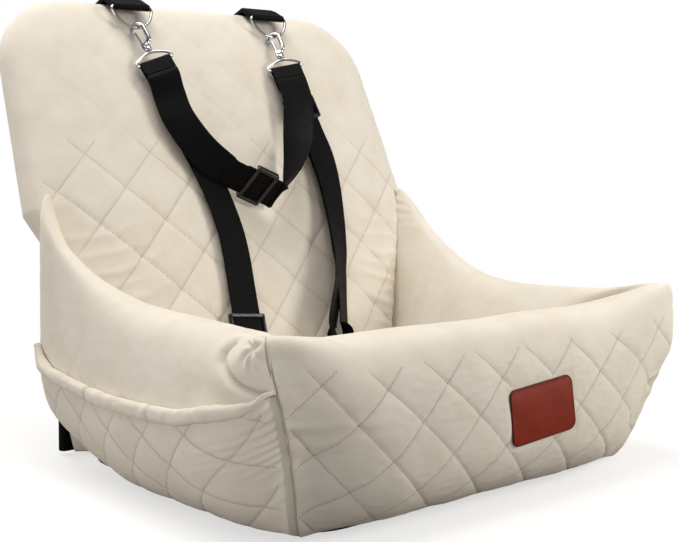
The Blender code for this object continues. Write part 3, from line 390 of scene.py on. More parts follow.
def dressed(piece):
    # the piece as its modifiers show it, as a plain mesh
    seen = piece.evaluated_get(bpy.context.evaluated_depsgraph_get())
    mesh = bpy.data.meshes.new_from_object(seen)
    piece.modifiers.clear()
    piece.data = mesh
    mesh.shade_smooth()
    return piece


def finishPiece(piece, body, nodes):
    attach(piece, body)
    if nodes:
        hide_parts(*nodes)


def nearestLine(value, start, step):
    # distance to the nearest line of a family, in the family's own coordinate
    share = (value - start) / step
    return np.abs(share - np.round(share)) * step


def channel(distance, deep, wide, fineDeep, fineWide):
    # a sewn channel: a broad soft dip with a narrow cut where the thread lies
    return -deep * np.exp(-distance / wide) - fineDeep * np.exp(-(distance / fineWide) ** 2)


def pathDistance(x, y, path):
    # distance to a run of points, and on which side of it
    best = np.full(x.shape, 1e9)
    side = np.zeros(x.shape)
    for (ax, ay), (bx, by) in zip(path, path[1:]):
        dx, dy = bx - ax, by - ay
        t = np.clip(((x - ax) * dx + (y - ay) * dy) / (dx * dx + dy * dy), 0, 1)
        far = np.hypot(x - ax - dx * t, y - ay - dy * t)
        turn = np.sign((x - ax) * dy - (y - ay) * dx)
        side = np.where(far < best, turn, side)
        best = np.minimum(best, far)
    return best, side


def levelLines(grid, normal, value, cover, start, step, least):
    # runs of points where a family's coordinate crosses its lines, over the cover
    runs = []
    low = math.ceil((value.min() - start) / step)
    high = math.floor((value.max() - start) / step)
    for k in range(low, high + 1):
        wanted = start + k * step
        run = []
        for i in range(grid.shape[0]):
            ahead = value[i] - wanted
            found = np.nonzero((ahead[:-1] * ahead[1:] < 0) & (cover[i, :-1] > least)
                               & (np.abs(ahead[:-1] - ahead[1:]) < step / 3))[0]
            if len(found) == 0:
                if len(run) > 2:
                    runs.append(run)
                run = []
                continue
            j = found[0]
            t = ahead[j] / (ahead[j] - ahead[j + 1])
            spot = mix(grid[i, j], grid[i, j + 1], t)
            if run and np.linalg.norm(spot - run[-1][0]) > 0.012:
                if len(run) > 2:
                    runs.append(run)
                run = []
            run.append((spot, mix(normal[i, j], normal[i, j + 1], t)))
        if len(run) > 2:
            runs.append(run)
    return runs


# the frame's own sizes of the basket, in metres
basket = {"halfWidth": 0.262, "front": 0.222, "rear": 0.192, "floor": 0.0033, "thickness": 0.092,
          "frontHeight": 0.178, "sideHeight": 0.184, "rearHeight": 0.288, "rearThickness": 0.030,
          "flareFront": 0.026, "flareRear": 0.024, "frontLean": 0.012, "corner": 0.044, "earRise": 0.014,
          "earReach": 0.009, "footInset": 0.022, "roundness": 3.2, "bulge": 0.05, "sideBelly": 0.012,
          "frontBelly": 0.014, "bellyRear": 0.6, "rightRise": 0.004}
sideCrest = [(0, 0), (0.30, 0.0), (0.50, 0.0), (0.62, 0.03), (0.74, 0.17), (0.84, 0.39), (0.92, 0.60), (1, 1.0),
             (1.05, 1.25)]
# how far the corner seam wanders round the corner at a height: rearwards is positive
seamWander = [(0.0, -0.004), (0.037, -0.005), (0.054, -0.006), (0.100, -0.0035), (0.134, 0.001), (0.174, 0.014),
              (0.195, 0.017)]
# the rear lower corners are rounded up off the floor
heelRise = [(0.60, 0), (0.70, 0.006), (0.78, 0.013), (0.86, 0.021), (0.94, 0.030), (1, 0.036)]
# the height of the pocket's hem along the side
hemCentre = [(0, 0.149), (0.042, 0.1436), (0.068, 0.135), (0.124, 0.124), (0.188, 0.114), (0.262, 0.1055),
             (0.368, 0.1014), (0.51, 0.099), (0.638, 0.0984), (0.78, 0.100), (0.88, 0.101), (0.925, 0.108),
             (0.946, 0.121), (0.956, 0.137)]
b = basket
cornerBaseX = b["halfWidth"] - b["corner"] / 2 / math.sqrt(2) - b["footInset"]
cornerBaseY = b["front"] - b["corner"] / 2 / math.sqrt(2) - b["footInset"]
cornerTopX = b["halfWidth"] + b["flareFront"] - (b["corner"] / 2 - b["earReach"]) / math.sqrt(2)
cornerTopY = b["front"] + b["frontLean"] - (b["corner"] / 2 - b["earReach"]) / math.sqrt(2)


def sideSection(side, share):
    filled, turn = ease(share / 0.22), ease(share / 0.2)
    outward = np.array([side, -(1 - turn), 0.0])
    outward /= np.linalg.norm(outward)
    half = mix(b["corner"], b["thickness"], filled) / 2
    thin = ease((share - 0.45) / 0.5)
    halfTop = mix(half, b["rearThickness"] / 2, thin)
    flare = mix(b["flareFront"], b["flareRear"], share)
    climb = sum(readTable(sideCrest, share + step) for step in (-0.045, -0.03, -0.015, 0, 0.015, 0.03, 0.045)) / 7
    crest = mix(b["sideHeight"], b["rearHeight"], climb)
    crest = mix(b["frontHeight"] + b["earRise"], crest, filled) 
    if side > 0:
        crest += b["rightRise"] * mix(1, -1.4, ease(share / 0.6))
    base = np.array([side * mix(cornerBaseX, b["halfWidth"] - b["thickness"] / 2, filled),
                     mix(-cornerBaseY, b["rear"], share), b["floor"]])
    top = np.array([side * mix(cornerTopX, b["halfWidth"] + flare - halfTop, filled),
                    mix(-cornerTopY, b["rear"], share), crest])
    return base, top, outward, half, halfTop, b["sideBelly"] * filled * mix(1, b["bellyRear"], thin)


def frontSection(share):
    near = min(share, 1 - share)
    filled, turn = ease(near / 0.2), ease(near / 0.18)
    side = -1 if share < 0.5 else 1
    outward = np.array([side * (1 - turn), -1.0, 0.0])
    outward /= np.linalg.norm(outward)
    half = mix(b["corner"], b["thickness"], filled) / 2
    baseY = mix(cornerBaseY, b["front"] - b["thickness"] / 2, filled)
    topY = mix(cornerTopY, b["front"] + b["frontLean"] - b["thickness"] / 2, filled)
    crest = b["frontHeight"] + b["earRise"] * (1 - filled) + b["rightRise"] * (1 - filled) * (side > 0)
    base = np.array([mix(-cornerBaseX, cornerBaseX, share), -baseY, b["floor"]])
    top = np.array([mix(-cornerTopX, cornerTopX, share), -topY, crest])
    return base, top, outward, half, half, b["frontBelly"] * filled


def sectionPoints(section, side, rise):
    base, top, outward, half, halfTop, belly = section
    wide = mix(half, halfTop, (rise + 1) / 2) * (1 + b["bulge"] * (1 - rise * rise))
    reach = wide * side + belly * np.maximum(side, 0) * (1 - rise * rise) * (1 - rise)
    return base + (top - base) * ((rise + 1) / 2)[:, None] + outward * reach[:, None]


def bothShares(turns):
    side = np.sign(np.cos(turns)) * np.abs(np.cos(turns)) ** (2 / b["roundness"])
    rise = np.sign(np.sin(turns)) * np.abs(np.sin(turns)) ** (2 / b["roundness"])
    return side, rise


def wallGrid(sections, around, outerWeight):
    # places round the section, closer together on the outer face
    fine = np.linspace(-math.pi / 2, 1.5 * math.pi, 3001)
    side, rise = bothShares(fine)
    path = sectionPoints(sections[len(sections) // 2], side, rise)
    steps = np.linalg.norm(np.diff(path, axis=0), axis=1) * np.where(side[1:] > 0, outerWeight, 1)
    run = np.concatenate([[0], np.cumsum(steps)])
    turns = np.interp(np.linspace(0, run[-1], around, endpoint=False), run, fine)
    side, rise = bothShares(turns)
    grid = np.array([sectionPoints(section, side, rise) for section in sections])
    steps = np.linalg.norm(np.diff(grid, axis=1), axis=2)
    up = np.concatenate([np.zeros((len(sections), 1)), np.cumsum(steps, axis=1)], axis=1)
    up = up - up[:, [int(np.argmax(rise > -0.98))]]
    return grid, side, rise, up


def runOf(sections):
    middles = [(s[0] + s[1]) / 2 for s in sections]
    steps = [np.linalg.norm(p - q) for p, q in zip(middles[1:], middles)]
    return np.concatenate([[0], np.cumsum(steps)])


def hemLevel(share):
    return sum(readTable(hemCentre, np.minimum(share + step, 0.96)) for step in (-0.012, -0.006, 0, 0.006, 0.012)) / 5


def heel(grid, shares, outerShare):
    # sets the foot on the base, and rounds the rear corner up off the floor
    rise = sum(readTable(heelRise, shares + step) for step in (-0.04, -0.02, 0, 0.02, 0.04))[:, None] / 5
    rise = rise * outerShare * np.clip(1 - grid[:, :, 2] / 0.13, 0, 1)
    grid[:, :, 2] = np.maximum(grid[:, :, 2], b["floor"] - 0.0005) + rise


def wander(grid, nearEnd, sign):
    # moves the corner seam round the corner, and less further from it
    shift = readTable(seamWander, grid[:, :, 2]) * np.exp(-(nearEnd / 0.032) ** 2)[:, None]
    grid[:, :, 1] += np.maximum(shift, 0)
    grid[:, :, 0] += np.minimum(shift, 0) * sign


quilting = {"deep": 0.0012, "wide": 0.0065, "fineDeep": 0.0006, "fineWide": 0.0013, "fullTo": 0.152, "fade": 0.034,
            "innerShare": 0.35}
frontLattice = {"step": 0.066, "pSlope": 0.95, "pStart": 0.002, "qSlope": -0.82, "qStart": 0.026}
sideLattice = {"acrossStep": 0.057, "acrossSlope": 0.7, "acrossStart": 0.063, "alongStep": 0.045}
stitchRuns = {"wall": [], "pocket": [], "backrest": []}


def sideCurve(run):
    # the lengthwise quilt lines of the sides climb towards the back
    past = np.clip(run - 0.024, -0.024, 0.156)
    return 0.2 * past + 1.2 * past ** 2 + 0.574 * np.maximum(run - 0.18, 0)


def ripple(across, along, folds, fallOff):
    # soft folds that start at a seam: (height, rise along it, half width, depth)
    found = 0
    for start, climb, half, deep in folds:
        found = found + deep * np.exp(-((across - start - climb * along) / half) ** 2) * np.exp(-along / fallOff)
    return found


patch = {"width": 0.095, "height": 0.056, "thickness": 0.002, "corner": 0.009, "across": 0.039, "up": 0.092,
         "turn": 4}


def frontPoint(x, level):
    base, top, outward, half, halfTop, belly = frontSection((x + cornerBaseX) / (2 * cornerBaseX))
    rise = 2 * (level - base[2]) / (top[2] - base[2]) - 1
    side = (1 - abs(rise) ** b["roundness"]) ** (1 / b["roundness"])
    return Vector(sectionPoints((base, top, outward, half, halfTop, belly), np.array([side]), np.array([rise]))[0])


def patchFrame():
    # sewn on a little askew, flat on the wall
    low = frontPoint(patch["across"], patch["up"] - patch["height"] / 2)
    high = frontPoint(patch["across"], patch["up"] + patch["height"] / 2)
    middle = frontPoint(patch["across"], patch["up"])
    across = Vector((1, 0, 0))
    rise = high - low
    rise -= across * rise.dot(across)
    rise.normalize()
    out = across.cross(rise)
    middle.x = patch["across"]
    turn = Matrix.Rotation(math.radians(patch["turn"]), 3, out)
    axes = Matrix((turn @ across, turn @ rise, out)).transposed().to_4x4()
    return Matrix.Translation(middle + out * (0.0005 + patch["thickness"] / 2)) @ axes


patchPlace = patchFrame()


def patchMask(grid):
    back = np.array(patchPlace.inverted())
    x = grid @ back[0, :3] + back[0, 3]
    y = grid @ back[1, :3] + back[1, 3]
    outside = np.maximum(np.abs(x) - patch["width"] / 2, np.abs(y) - patch["height"] / 2)
    return 1 - ease((outside + 0.001) / 0.008)


frontFolds = [(0.124, 0.05, 0.0045, 0.0019), (0.113, 0.10, 0.003, -0.0013), (0.103, 0.12, 0.0045, 0.0018),
              (0.092, 0.10, 0.003, -0.0009), (0.080, 0.2, 0.005, 0.0009), (0.062, 0.1, 0.006, 0.0008),
              (0.150, -0.1, 0.007, 0.0010)]
print("quilting set out")


def makeFrontWall():
    q, f = quilting, frontLattice
    shares = np.unique(np.concatenate([np.linspace(0, 1, 290), np.linspace(0, 0.012, 10), np.linspace(0.988, 1, 10)]))
    sections = [frontSection(s) for s in shares]
    run = runOf(sections)
    grid, side, rise, up = wallGrid(sections, 236, 1.9)
    nearLeft, nearRight = run, run[-1] - run
    nearEnd = np.minimum(nearLeft, nearRight)
    wander(grid, nearLeft, -1)
    wander(grid, nearRight, 1)
    normal = normalsOf(grid)
    outer, inner = ease((side - 0.2) / 0.3), ease((-side - 0.3) / 0.4)
    level = np.where(side > 0, up, grid[:, :, 2])
    x = grid[:, :, 0]
    p, r = level + f["pSlope"] * x, level + f["qSlope"] * x
    fade = 1 - ease((level - q["fullTo"]) / q["fade"])
    cover = (outer + inner * q["innerShare"]) * fade * ease(nearEnd / 0.012)[:, None] * ease((level - 0.002) / 0.012)
    lift = 0
    for value, start, slope in ((p, f["pStart"], f["pSlope"]), (r, f["qStart"], f["qSlope"])):
        away = nearestLine(value, start, f["step"]) / math.hypot(1, slope)
        lift = lift + channel(away, q["deep"], q["wide"], q["fineDeep"], q["fineWide"]) * cover
    lift = lift + 0.0012 * cover
    soft = noiseAt(grid, 8, 3)
    small = noiseAt(grid, 34, 7)
    lift += 0.0024 * soft + 0.0005 * small
    # fine wrinkles that cross the channels
    grain = noiseAt(grid * np.array([1, 1, 2.2]), 90, 1)
    lift += 0.00035 * grain * cover
    lift += ripple(level, nearLeft[:, None], frontFolds, 0.045) * outer
    lift += ripple(level + 0.02, nearRight[:, None], frontFolds, 0.03) * outer * 0.6
    # the edges turn in at the corner seams
    # the right corner stands out a little further
    lift += 0.0035 * np.exp(-nearRight / 0.03)[:, None] * outer
    lift -= 0.0022 * np.exp(-nearEnd / 0.0010)[:, None]
    covered = patchMask(grid) * (side > 0)
    cover = cover * (1 - covered)
    lift = mix(lift, 0.0008 * soft, 0.9 * covered)
    grid += normal * lift[:, :, None]
    grid[:, :, 2] = np.maximum(grid[:, :, 2], b["floor"] - 0.0005)
    wall = gridObject("frontWall", grid, suede)
    normal = normalsOf(grid)
    # painted shade: the crease layer darkens the corner seams and, faintly, the sewn channels
    crease = 0.9 * np.exp(-(nearEnd / 0.0008) ** 2)[:, None] + 0 * level
    for value, start, slope in ((p, f["pStart"], f["pSlope"]), (r, f["qStart"], f["qSlope"])):
        away = nearestLine(value, start, f["step"]) / math.hypot(1, slope)
        crease = np.maximum(crease, 0.10 * np.exp(-(away / 0.0011) ** 2) * cover)
        for face in (side > 0, side < 0):
            stitchRuns["wall"] += levelLines(grid, normal, value, cover * face, start, f["step"], 0.3)
    creaseColour(wall, crease.ravel())
    finishPiece(wall, "seat", ["front_wall"])
    return BVHTree.FromPolygons([v.co for v in wall.data.vertices], [tuple(p.vertices) for p in wall.data.polygons])


frontSurface = makeFrontWall()
print("front wall made")

# where the left wall's end is folded in under its point, as (run from the seam, height up the face)
tuck = {"outer": [(0.0715, 0.202), (0.0745, 0.190), (0.0723, 0.1826), (0.0568, 0.1701), (0.0439, 0.162),
                  (0.0272, 0.1559), (0.014, 0.1547)],
        "inner": [(0.0508, 0.190), (0.0535, 0.1775), (0.0450, 0.170), (0.036, 0.166)], "pinch": (0.0289, 0.1952)}


def tuckLift(run, up):
    away, turned = pathDistance(run, up, tuck["outer"])
    inside = -turned
    lift = -0.0042 * np.exp(-(away / 0.0030) ** 2)
    within = ease(inside * away / 0.001 + 0.5)
    lift += within * 0.0026 * np.exp(-((away - 0.009) / 0.0105) ** 2)
    away, turned = pathDistance(run, up, tuck["inner"])
    lift += -0.0017 * np.exp(-(away / 0.0026) ** 2) * within
    px, pv = tuck["pinch"]
    far = np.hypot(run - px, up - pv)
    angle = np.arctan2(up - pv, run - px)
    lift += -0.0048 * np.exp(-(far / 0.006) ** 2)
    lift += 0.0016 * np.sin(7 * angle + 0.7 + far * 120) * np.exp(-((far - 0.012) / 0.010) ** 2)
    lift += 0.0009 * np.sin(4 * angle + 2.1 + far * 60) * np.exp(-((far - 0.032) / 0.014) ** 2)
    return lift


def makeSideWall(name, sign):
    q, k = quilting, sideLattice
    shares = np.unique(np.concatenate([np.linspace(0, 0.014, 12), np.linspace(0, 0.3, 96), np.linspace(0.3, 1, 140)]))
    sections = [sideSection(sign, s) for s in shares]
    run = runOf(sections)
    grid, side, rise, up = wallGrid(sections, 190, 1.35)
    wander(grid, run, sign)
    # towards the rear end the wall narrows to a sewn edge
    closing = np.sqrt(np.maximum(1 - (np.maximum(shares - 0.93, 0) / 0.0735) ** 2, 0))
    middle = grid.mean(axis=1)[:, 0]
    grid[:, :, 0] = middle[:, None] + (grid[:, :, 0] - middle[:, None]) * mix(0.30, 1, closing)[:, None]
    normal = normalsOf(grid)
    outer, inner = ease((side - 0.2) / 0.3), ease((-side - 0.3) / 0.4)
    level = np.where(side > 0, up, grid[:, :, 2])
    far = np.repeat(run[:, None], grid.shape[1], axis=1)
    lines = ((far + k["acrossSlope"] * level, k["acrossStart"], k["acrossStep"], math.hypot(1, k["acrossSlope"])),
             (level - sideCurve(far), 0, k["alongStep"], 1.15))
    top = up[:, int(np.argmin(np.abs(side) + (rise < 0) * 9))]
    fade = ease((top[:, None] - 0.012 - level) / 0.05)
    hem = hemLevel(shares)[:, None]
    # the quilting of the outer face shows for a short way above the pocket alone
    cover = outer * (0.05 + 0.22 * ease((hem + 0.034 - level) / 0.026)) + inner * 0.06
    cover = cover * fade * ease(run / 0.05)[:, None]
    lift = 0
    for value, start, step, steep in lines:
        away = nearestLine(value, start, step) / steep
        lift = lift + channel(away, q["deep"], q["wide"], q["fineDeep"], q["fineWide"]) * cover
    lift += 0.0028 * noiseAt(grid, 8, 11 + sign) + 0.0006 * noiseAt(grid, 30, 17)
    lift += 0.0003 * noiseAt(grid, 85, 23)
    if sign < 0:
        lift += tuckLift(far, up) * outer * ease((up - 0.135) / 0.015)
    lift += (0.0035 if sign > 0 else 0) * np.exp(-run / 0.03)[:, None] * outer
    lift -= 0.0022 * np.exp(-run / 0.0010)[:, None]
    # the wall lies flat behind its pocket
    bare = ease((grid[:, :, 2] - hem + 0.004) / 0.008)
    lift = np.where(side > 0, mix(-0.0008, lift, bare), lift)
    cover = np.where(side > 0, cover * bare, cover)
    # faint folds where the wall is sewn to the backrest
    back = run[-1] - run
    lift += 0.0016 * np.sin(level / 0.0105 * math.tau + 3 * noiseAt(grid, 25, 2)) \
        * np.exp(-back / 0.022)[:, None] * ease(noiseAt(grid, 18, 31) + 0.4) * inner
    grid += normal * lift[:, :, None]
    heel(grid, shares, ease((side + 0.1) / 0.5)[None, :])
    wall = gridObject(name + "Wall", grid, suede)
    normal = normalsOf(grid)
    # painted shade: the crease layer darkens the corner seam, the tuck's fold line and the sewn channels
    creases = 0.9 * np.exp(-(run / 0.0008) ** 2)[:, None] + 0 * level
    if sign < 0:
        away, turned = pathDistance(far, up, tuck["outer"])
        creases = np.maximum(creases, 0.35 * np.exp(-(away / 0.002) ** 2) * outer)
    for value, start, step, steep in lines:
        away = nearestLine(value, start, step) / steep
        creases = np.maximum(creases, 0.5 * np.exp(-(away / 0.0011) ** 2) * cover)
        for face in (side > 0, side < 0):
            stitchRuns["wall"] += levelLines(grid, normal, value, cover * face, start, step, 0.10)
    creaseColour(wall, creases.ravel())
    finishPiece(wall, "seat", [name + "_wall"])


makeSideWall("left", -1)
makeSideWall("right", 1)
print("side walls made")

lean = math.radians(24)
seatLevel = 0.0613
footLevel = seatLevel + 0.0003
backOrigin = Vector((0, 0.057 + footLevel * math.tan(lean), footLevel))
upBack = Vector((0, math.sin(lean), math.cos(lean)))
outFront = Vector((0, -math.cos(lean), math.sin(lean)))
acrossAxis = Vector((1, 0, 0))
backrest = {"length": 0.496, "thickness": 0.072, "bottomHalf": 0.152, "shoulderHeight": 0.240,
            "shoulderHalf": 0.275, "topHalf": 0.264, "corner": 0.086, "roundness": 3.2, "step": 0.0815,
            "fineness": 190, "deep": 0.0013, "wide": 0.0075, "fineDeep": 0.0008, "fineWide": 0.0016}
# gathers where the side walls are sewn on: (height, rise inwards, half width, depth, reach)
backGathers = [(0.012, 0.1, 0.0040, 0.0016, 0.040), (0.025, -0.1, 0.0030, 0.0011, 0.028),
               (0.037, 0.2, 0.0045, 0.0019, 0.048), (0.052, 0.0, 0.0033, 0.0013, 0.030),
               (0.063, 0.25, 0.0045, 0.0017, 0.042), (0.081, 0.1, 0.0036, 0.0011, 0.024),
               (0.095, 0.3, 0.0050, 0.0020, 0.050), (0.109, 0.1, 0.0030, 0.0010, 0.022),
               (0.124, 0.3, 0.0045, 0.0016, 0.044), (0.143, 0.2, 0.0036, 0.0010, 0.028),
               (0.158, 0.4, 0.0050, 0.0014, 0.046), (0.181, 0.3, 0.0040, 0.0009, 0.030),
               (0.202, 0.4, 0.0050, 0.0008, 0.036)]


def planePoint(x, v, n):
    return backOrigin + acrossAxis * x + upBack * v + outFront * n


def backrestOutline():
    r = backrest
    low = -r["thickness"] * math.sin(lean) - 0.005
    half = [(0, low), (r["bottomHalf"], low)]
    half += [(mix(r["bottomHalf"], r["shoulderHalf"], s), mix(low, r["shoulderHeight"], s)) for s in (0.33, 0.66, 1)]
    cornerX, cornerY = r["topHalf"] - r["corner"], r["length"] - r["corner"]
    half.append((mix(r["shoulderHalf"], r["topHalf"], 0.5), mix(r["shoulderHeight"], cornerY, 0.5)))
    for step in range(13):
        turn = math.radians(90 * step / 12)
        half.append((cornerX + r["corner"] * math.cos(turn), cornerY + r["corner"] * math.sin(turn)))
    half.append((0, r["length"]))
    left = [(-x, y) for x, y in half[-2:0:-1]]
    return np.array(half + left)


def alongOutline(outline, count):
    closed = np.vstack([outline, outline[:1]])
    steps = np.linalg.norm(np.diff(closed, axis=0), axis=1)
    run = np.concatenate([[0], np.cumsum(steps)])
    places = np.linspace(0, run[-1], count, endpoint=False)
    return np.stack([np.interp(places, run, closed[:, k]) for k in (0, 1)], axis=1)


def squareRings(size):
    # a square grid read as rings: each vertex is (ring share, place along the outline)
    half = size / 2
    i, j = np.meshgrid(np.arange(size + 1), np.arange(size + 1), indexing="ij")
    x, y = (i - half) / half, (j - half) / half
    reach = np.maximum(np.abs(x), np.abs(y))
    safe = np.where(reach == 0, 1, reach)
    u, v = x / safe, y / safe
    turn = np.where(v <= -1 + 1e-9, u / 8, np.where(u >= 1 - 1e-9, 0.25 + v / 8,
                    np.where(v >= 1 - 1e-9, 0.5 - u / 8, 0.75 - v / 8)))
    return reach, turn % 1


def pillowSheet(size, outline, centre, half, roundness):
    # x, y and depth share for a grid over a crowned face that ends at the outline
    ring = alongOutline(outline, 4096)
    reach, place = squareRings(size)
    turn = np.linspace(0, math.pi / 2, 400)
    out, deep = np.sin(turn) ** (2 / roundness), np.cos(turn) ** (2 / roundness)
    wide = np.abs(outline - centre).max()
    run = np.concatenate([[0], np.cumsum(np.hypot(np.diff(out) * wide, np.diff(deep) * half))])
    at = np.interp(reach * run[-1], run, turn)
    out, deep = np.sin(at) ** (2 / roundness), np.cos(at) ** (2 / roundness)
    spot = ring[(place * 4096).astype(int) % 4096]
    return centre + (spot - centre) * out[:, :, None], deep


def sheetObject(name, front, back, material):
    # two grids that share their rim
    size = front.shape[0]
    points, faces, index = [], [], {}
    for layer, grid in enumerate((front, back)):
        for i in range(size):
            for j in range(size):
                rim = i in (0, size - 1) or j in (0, size - 1)
                if rim and layer:
                    index[1, i, j] = index[0, i, j]
                else:
                    index[layer, i, j] = len(points)
                    points.append(tuple(grid[i, j]))
        for i in range(size - 1):
            for j in range(size - 1):
                faces.append(tuple(index[layer, a, c] for a, c in ((i, j), (i + 1, j), (i + 1, j + 1), (i, j + 1))))
    mesh = bpy.data.meshes.new(name)
    mesh.from_pydata(points, [], faces)
    bm = bmesh.new()
    bm.from_mesh(mesh)
    bmesh.ops.recalc_face_normals(bm, faces=bm.faces)
    bm.to_mesh(mesh)
    bm.free()
    return joinUp(name, mesh, material), index


def spread(values, index, count):
    # values on two grids, put in the order of the sheet's points
    found = np.zeros(count)
    for layer, grid in enumerate(values):
        for i in range(grid.shape[0]):
            for j in range(grid.shape[1]):
                found[index[layer, i, j]] = grid[i, j]
    return found


def onPlane(x, v, n):
    origin, up, out = np.array(backOrigin), np.array(upBack), np.array(outFront)
    return origin + x[:, :, None] * np.array([1.0, 0, 0]) + v[:, :, None] * up + n[:, :, None] * out


def makeBackrest():
    r = backrest
    half = r["thickness"] / 2
    xy, depth = pillowSheet(r["fineness"], backrestOutline(), np.array([0, r["length"] / 2]), half, r["roundness"])
    x, v = xy[:, :, 0], xy[:, :, 1]
    grids, creases = [], []
    for sign in (1, -1):
        level = half * depth * sign
        # the photograph shows the lattice all over, and clearer low down
        cover = ease((depth - 0.45) / 0.3) * ((0.22 + 0.78 * ease((0.335 - v) / 0.12)) if sign > 0 else 0.6)
        lift, crease = 0, 0 * x
        for value in (x + v - 0.012, x - v + 0.012):
            away = nearestLine(value, 0, r["step"]) / math.sqrt(2)
            lift = lift + channel(away, r["deep"], r["wide"], r["fineDeep"], r["fineWide"]) * cover
            # painted shade: the crease layer darkens the sewn channels
            crease = np.maximum(crease, 0.12 * np.exp(-(away / 0.0014) ** 2) * cover)
        flat = np.stack([x, v, np.full(x.shape, 0.1 * sign)], axis=2)
        lift = lift + 0.0026 * noiseAt(flat, 7, 2) * depth + 0.0006 * noiseAt(flat, 30, 4)
        lift += 0.0003 * noiseAt(flat, 85, 9)
        if sign > 0:
            inward = np.maximum(0.190 - np.abs(x), 0)
            waver = 0.004 * noiseAt(flat, 30, 8)
            for start, climb, wide, deep, reach in backGathers:
                away = v + waver - start - climb * inward
                lift = lift + deep * np.exp(-(away / wide) ** 2) * np.exp(-(inward / reach) ** 2)
        level = level + sign * lift
        points = onPlane(x, v, level - half)
        below = np.maximum(footLevel - points[:, :, 2], 0)
        points += np.array(upBack) * (below / math.cos(lean))[:, :, None]
        grids.append(points)
        creases.append(crease)
        inPlane = np.array(outFront) * sign
        facing = np.repeat(np.repeat(inPlane[None, None, :], x.shape[0], 0), x.shape[1], 1)
        sewn = np.where(points[:, :, 2] > footLevel + 0.004, cover, 0)
        for value in (x + v - 0.012, x - v + 0.012):
            stitchRuns["backrest"] += levelLines(points, facing, value, sewn, 0, r["step"], 0.3)
    cushion, index = sheetObject("backrestCushion", grids[0], grids[1], suede)
    creaseColour(cushion, spread(creases, index, len(cushion.data.vertices)))
    finishPiece(cushion, "seat", ["backrest_cover", "backrest_foam"])


makeBackrest()
print("backrest made")

pad = {"top": 0.022, "corner": 0.024, "fineness": 110, "step": 0.080}
innerHalf = b["halfWidth"] - b["thickness"] * (1 + b["bulge"] / 2) - 0.0005
innerFront = b["front"] - b["thickness"] * (1 + b["bulge"] / 2) - 0.0005


def roundedOutline(halfX, halfY, radius, steps=10):
    points = [(0, -halfY)]
    for centreX, centreY, start in ((halfX - radius, -halfY + radius, -90), (halfX - radius, halfY - radius, 0),
                                    (-halfX + radius, halfY - radius, 90), (-halfX + radius, -halfY + radius, 180)):
        for step in range(steps + 1):
            turn = math.radians(start + 90 * step / steps)
            points.append((centreX + radius * math.cos(turn), centreY + radius * math.sin(turn)))
    return np.array(points)


def makePad():
    padRear = 0.057 + footLevel * math.tan(lean)
    halfY, middleY = (innerFront + padRear) / 2, (padRear - innerFront) / 2
    xy, depth = pillowSheet(pad["fineness"], roundedOutline(innerHalf, halfY, pad["corner"]), np.array([0.0, 0.0]),
                            pad["top"], 4)
    x, y = xy[:, :, 0], xy[:, :, 1]
    cover = ease((depth - 0.6) / 0.25)
    lift, crease = 0, 0 * x
    for value in (x + y, x - y):
        away = nearestLine(value, 0, pad["step"]) / math.sqrt(2)
        lift = lift + channel(away, 0.0020, 0.0075, 0.0009, 0.0015) * cover
        # painted shade: the crease layer darkens the sewn channels
        crease = np.maximum(crease, 0.15 * np.exp(-(away / 0.0014) ** 2) * cover)
    flat = np.stack([x, y, 0 * x], axis=2)
    lift = lift + 0.0008 * noiseAt(flat, 14, 6) * cover
    floorLevel = seatLevel + 0.0006
    upper = np.stack([x, middleY + y, floorLevel + (pad["top"] - 0.001) * depth + lift], axis=2)
    lower = np.stack([x, middleY + y, floorLevel - 0.0002 * depth], axis=2)
    seatPad, index = sheetObject("seatPad", upper, lower, suede)
    creaseColour(seatPad, spread([crease, 0 * x], index, len(seatPad.data.vertices)))
    facing = np.repeat(np.repeat(np.array([[[0.0, 0.0, 1.0]]]), x.shape[0], 0), x.shape[1], 1)
    for value in (x + y, x - y):
        stitchRuns["backrest"] += levelLines(upper, facing, value, cover, 0, pad["step"], 0.5)
    finishPiece(seatPad, "seat", ["seat_pad"])


makePad()
print("seat pad made")


# the side pockets: quilted panels under a rolled, elasticated hem
pocket = {"from": 0.0015, "to": 0.957, "offset": 0.0042, "hemHigh": 0.0078, "hemDeep": 0.0060,
          "hemOut": 0.0046, "rows": 230, "columns": 120}
pocketFolds = [(0.152, 2.0, 0.034), (0.143, 2.6, 0.046), (0.134, 2.9, 0.056), (0.125, 2.9, 0.050), (0.117, 2.5, 0.056),
               (0.109, 2.2, 0.048), (0.101, 1.9, 0.040), (0.092, 1.3, 0.034), (0.078, 0.9, 0.030), (0.060, 0.8, 0.026)]


def outerFace(sign, shares, samples=300):
    # the outer face of a side wall, from foot to crest, with the corner's wander
    rise = np.linspace(-0.985, 0.985, samples)
    side = (1 - np.abs(rise) ** b["roundness"]) ** (1 / b["roundness"])
    sections = [sideSection(sign, s) for s in shares]
    grid = np.array([sectionPoints(section, side, rise) for section in sections])
    run = runOf([sideSection(sign, s) for s in np.linspace(0, 1, 401)])
    run = np.interp(shares, np.linspace(0, 1, 401), run)
    wander(grid, run, sign)
    steps = np.linalg.norm(np.diff(grid, axis=1), axis=2)
    arcs = np.concatenate([np.zeros((len(shares), 1)), np.cumsum(steps, axis=1)], axis=1)
    return grid, arcs, run


def alongArc(grid, arcs, wanted):
    # points of each row at the wanted arc lengths
    return np.array([np.stack([np.interp(w, a, g[:, k]) for k in range(3)], axis=1)
                     for g, a, w in zip(grid, arcs, wanted)])


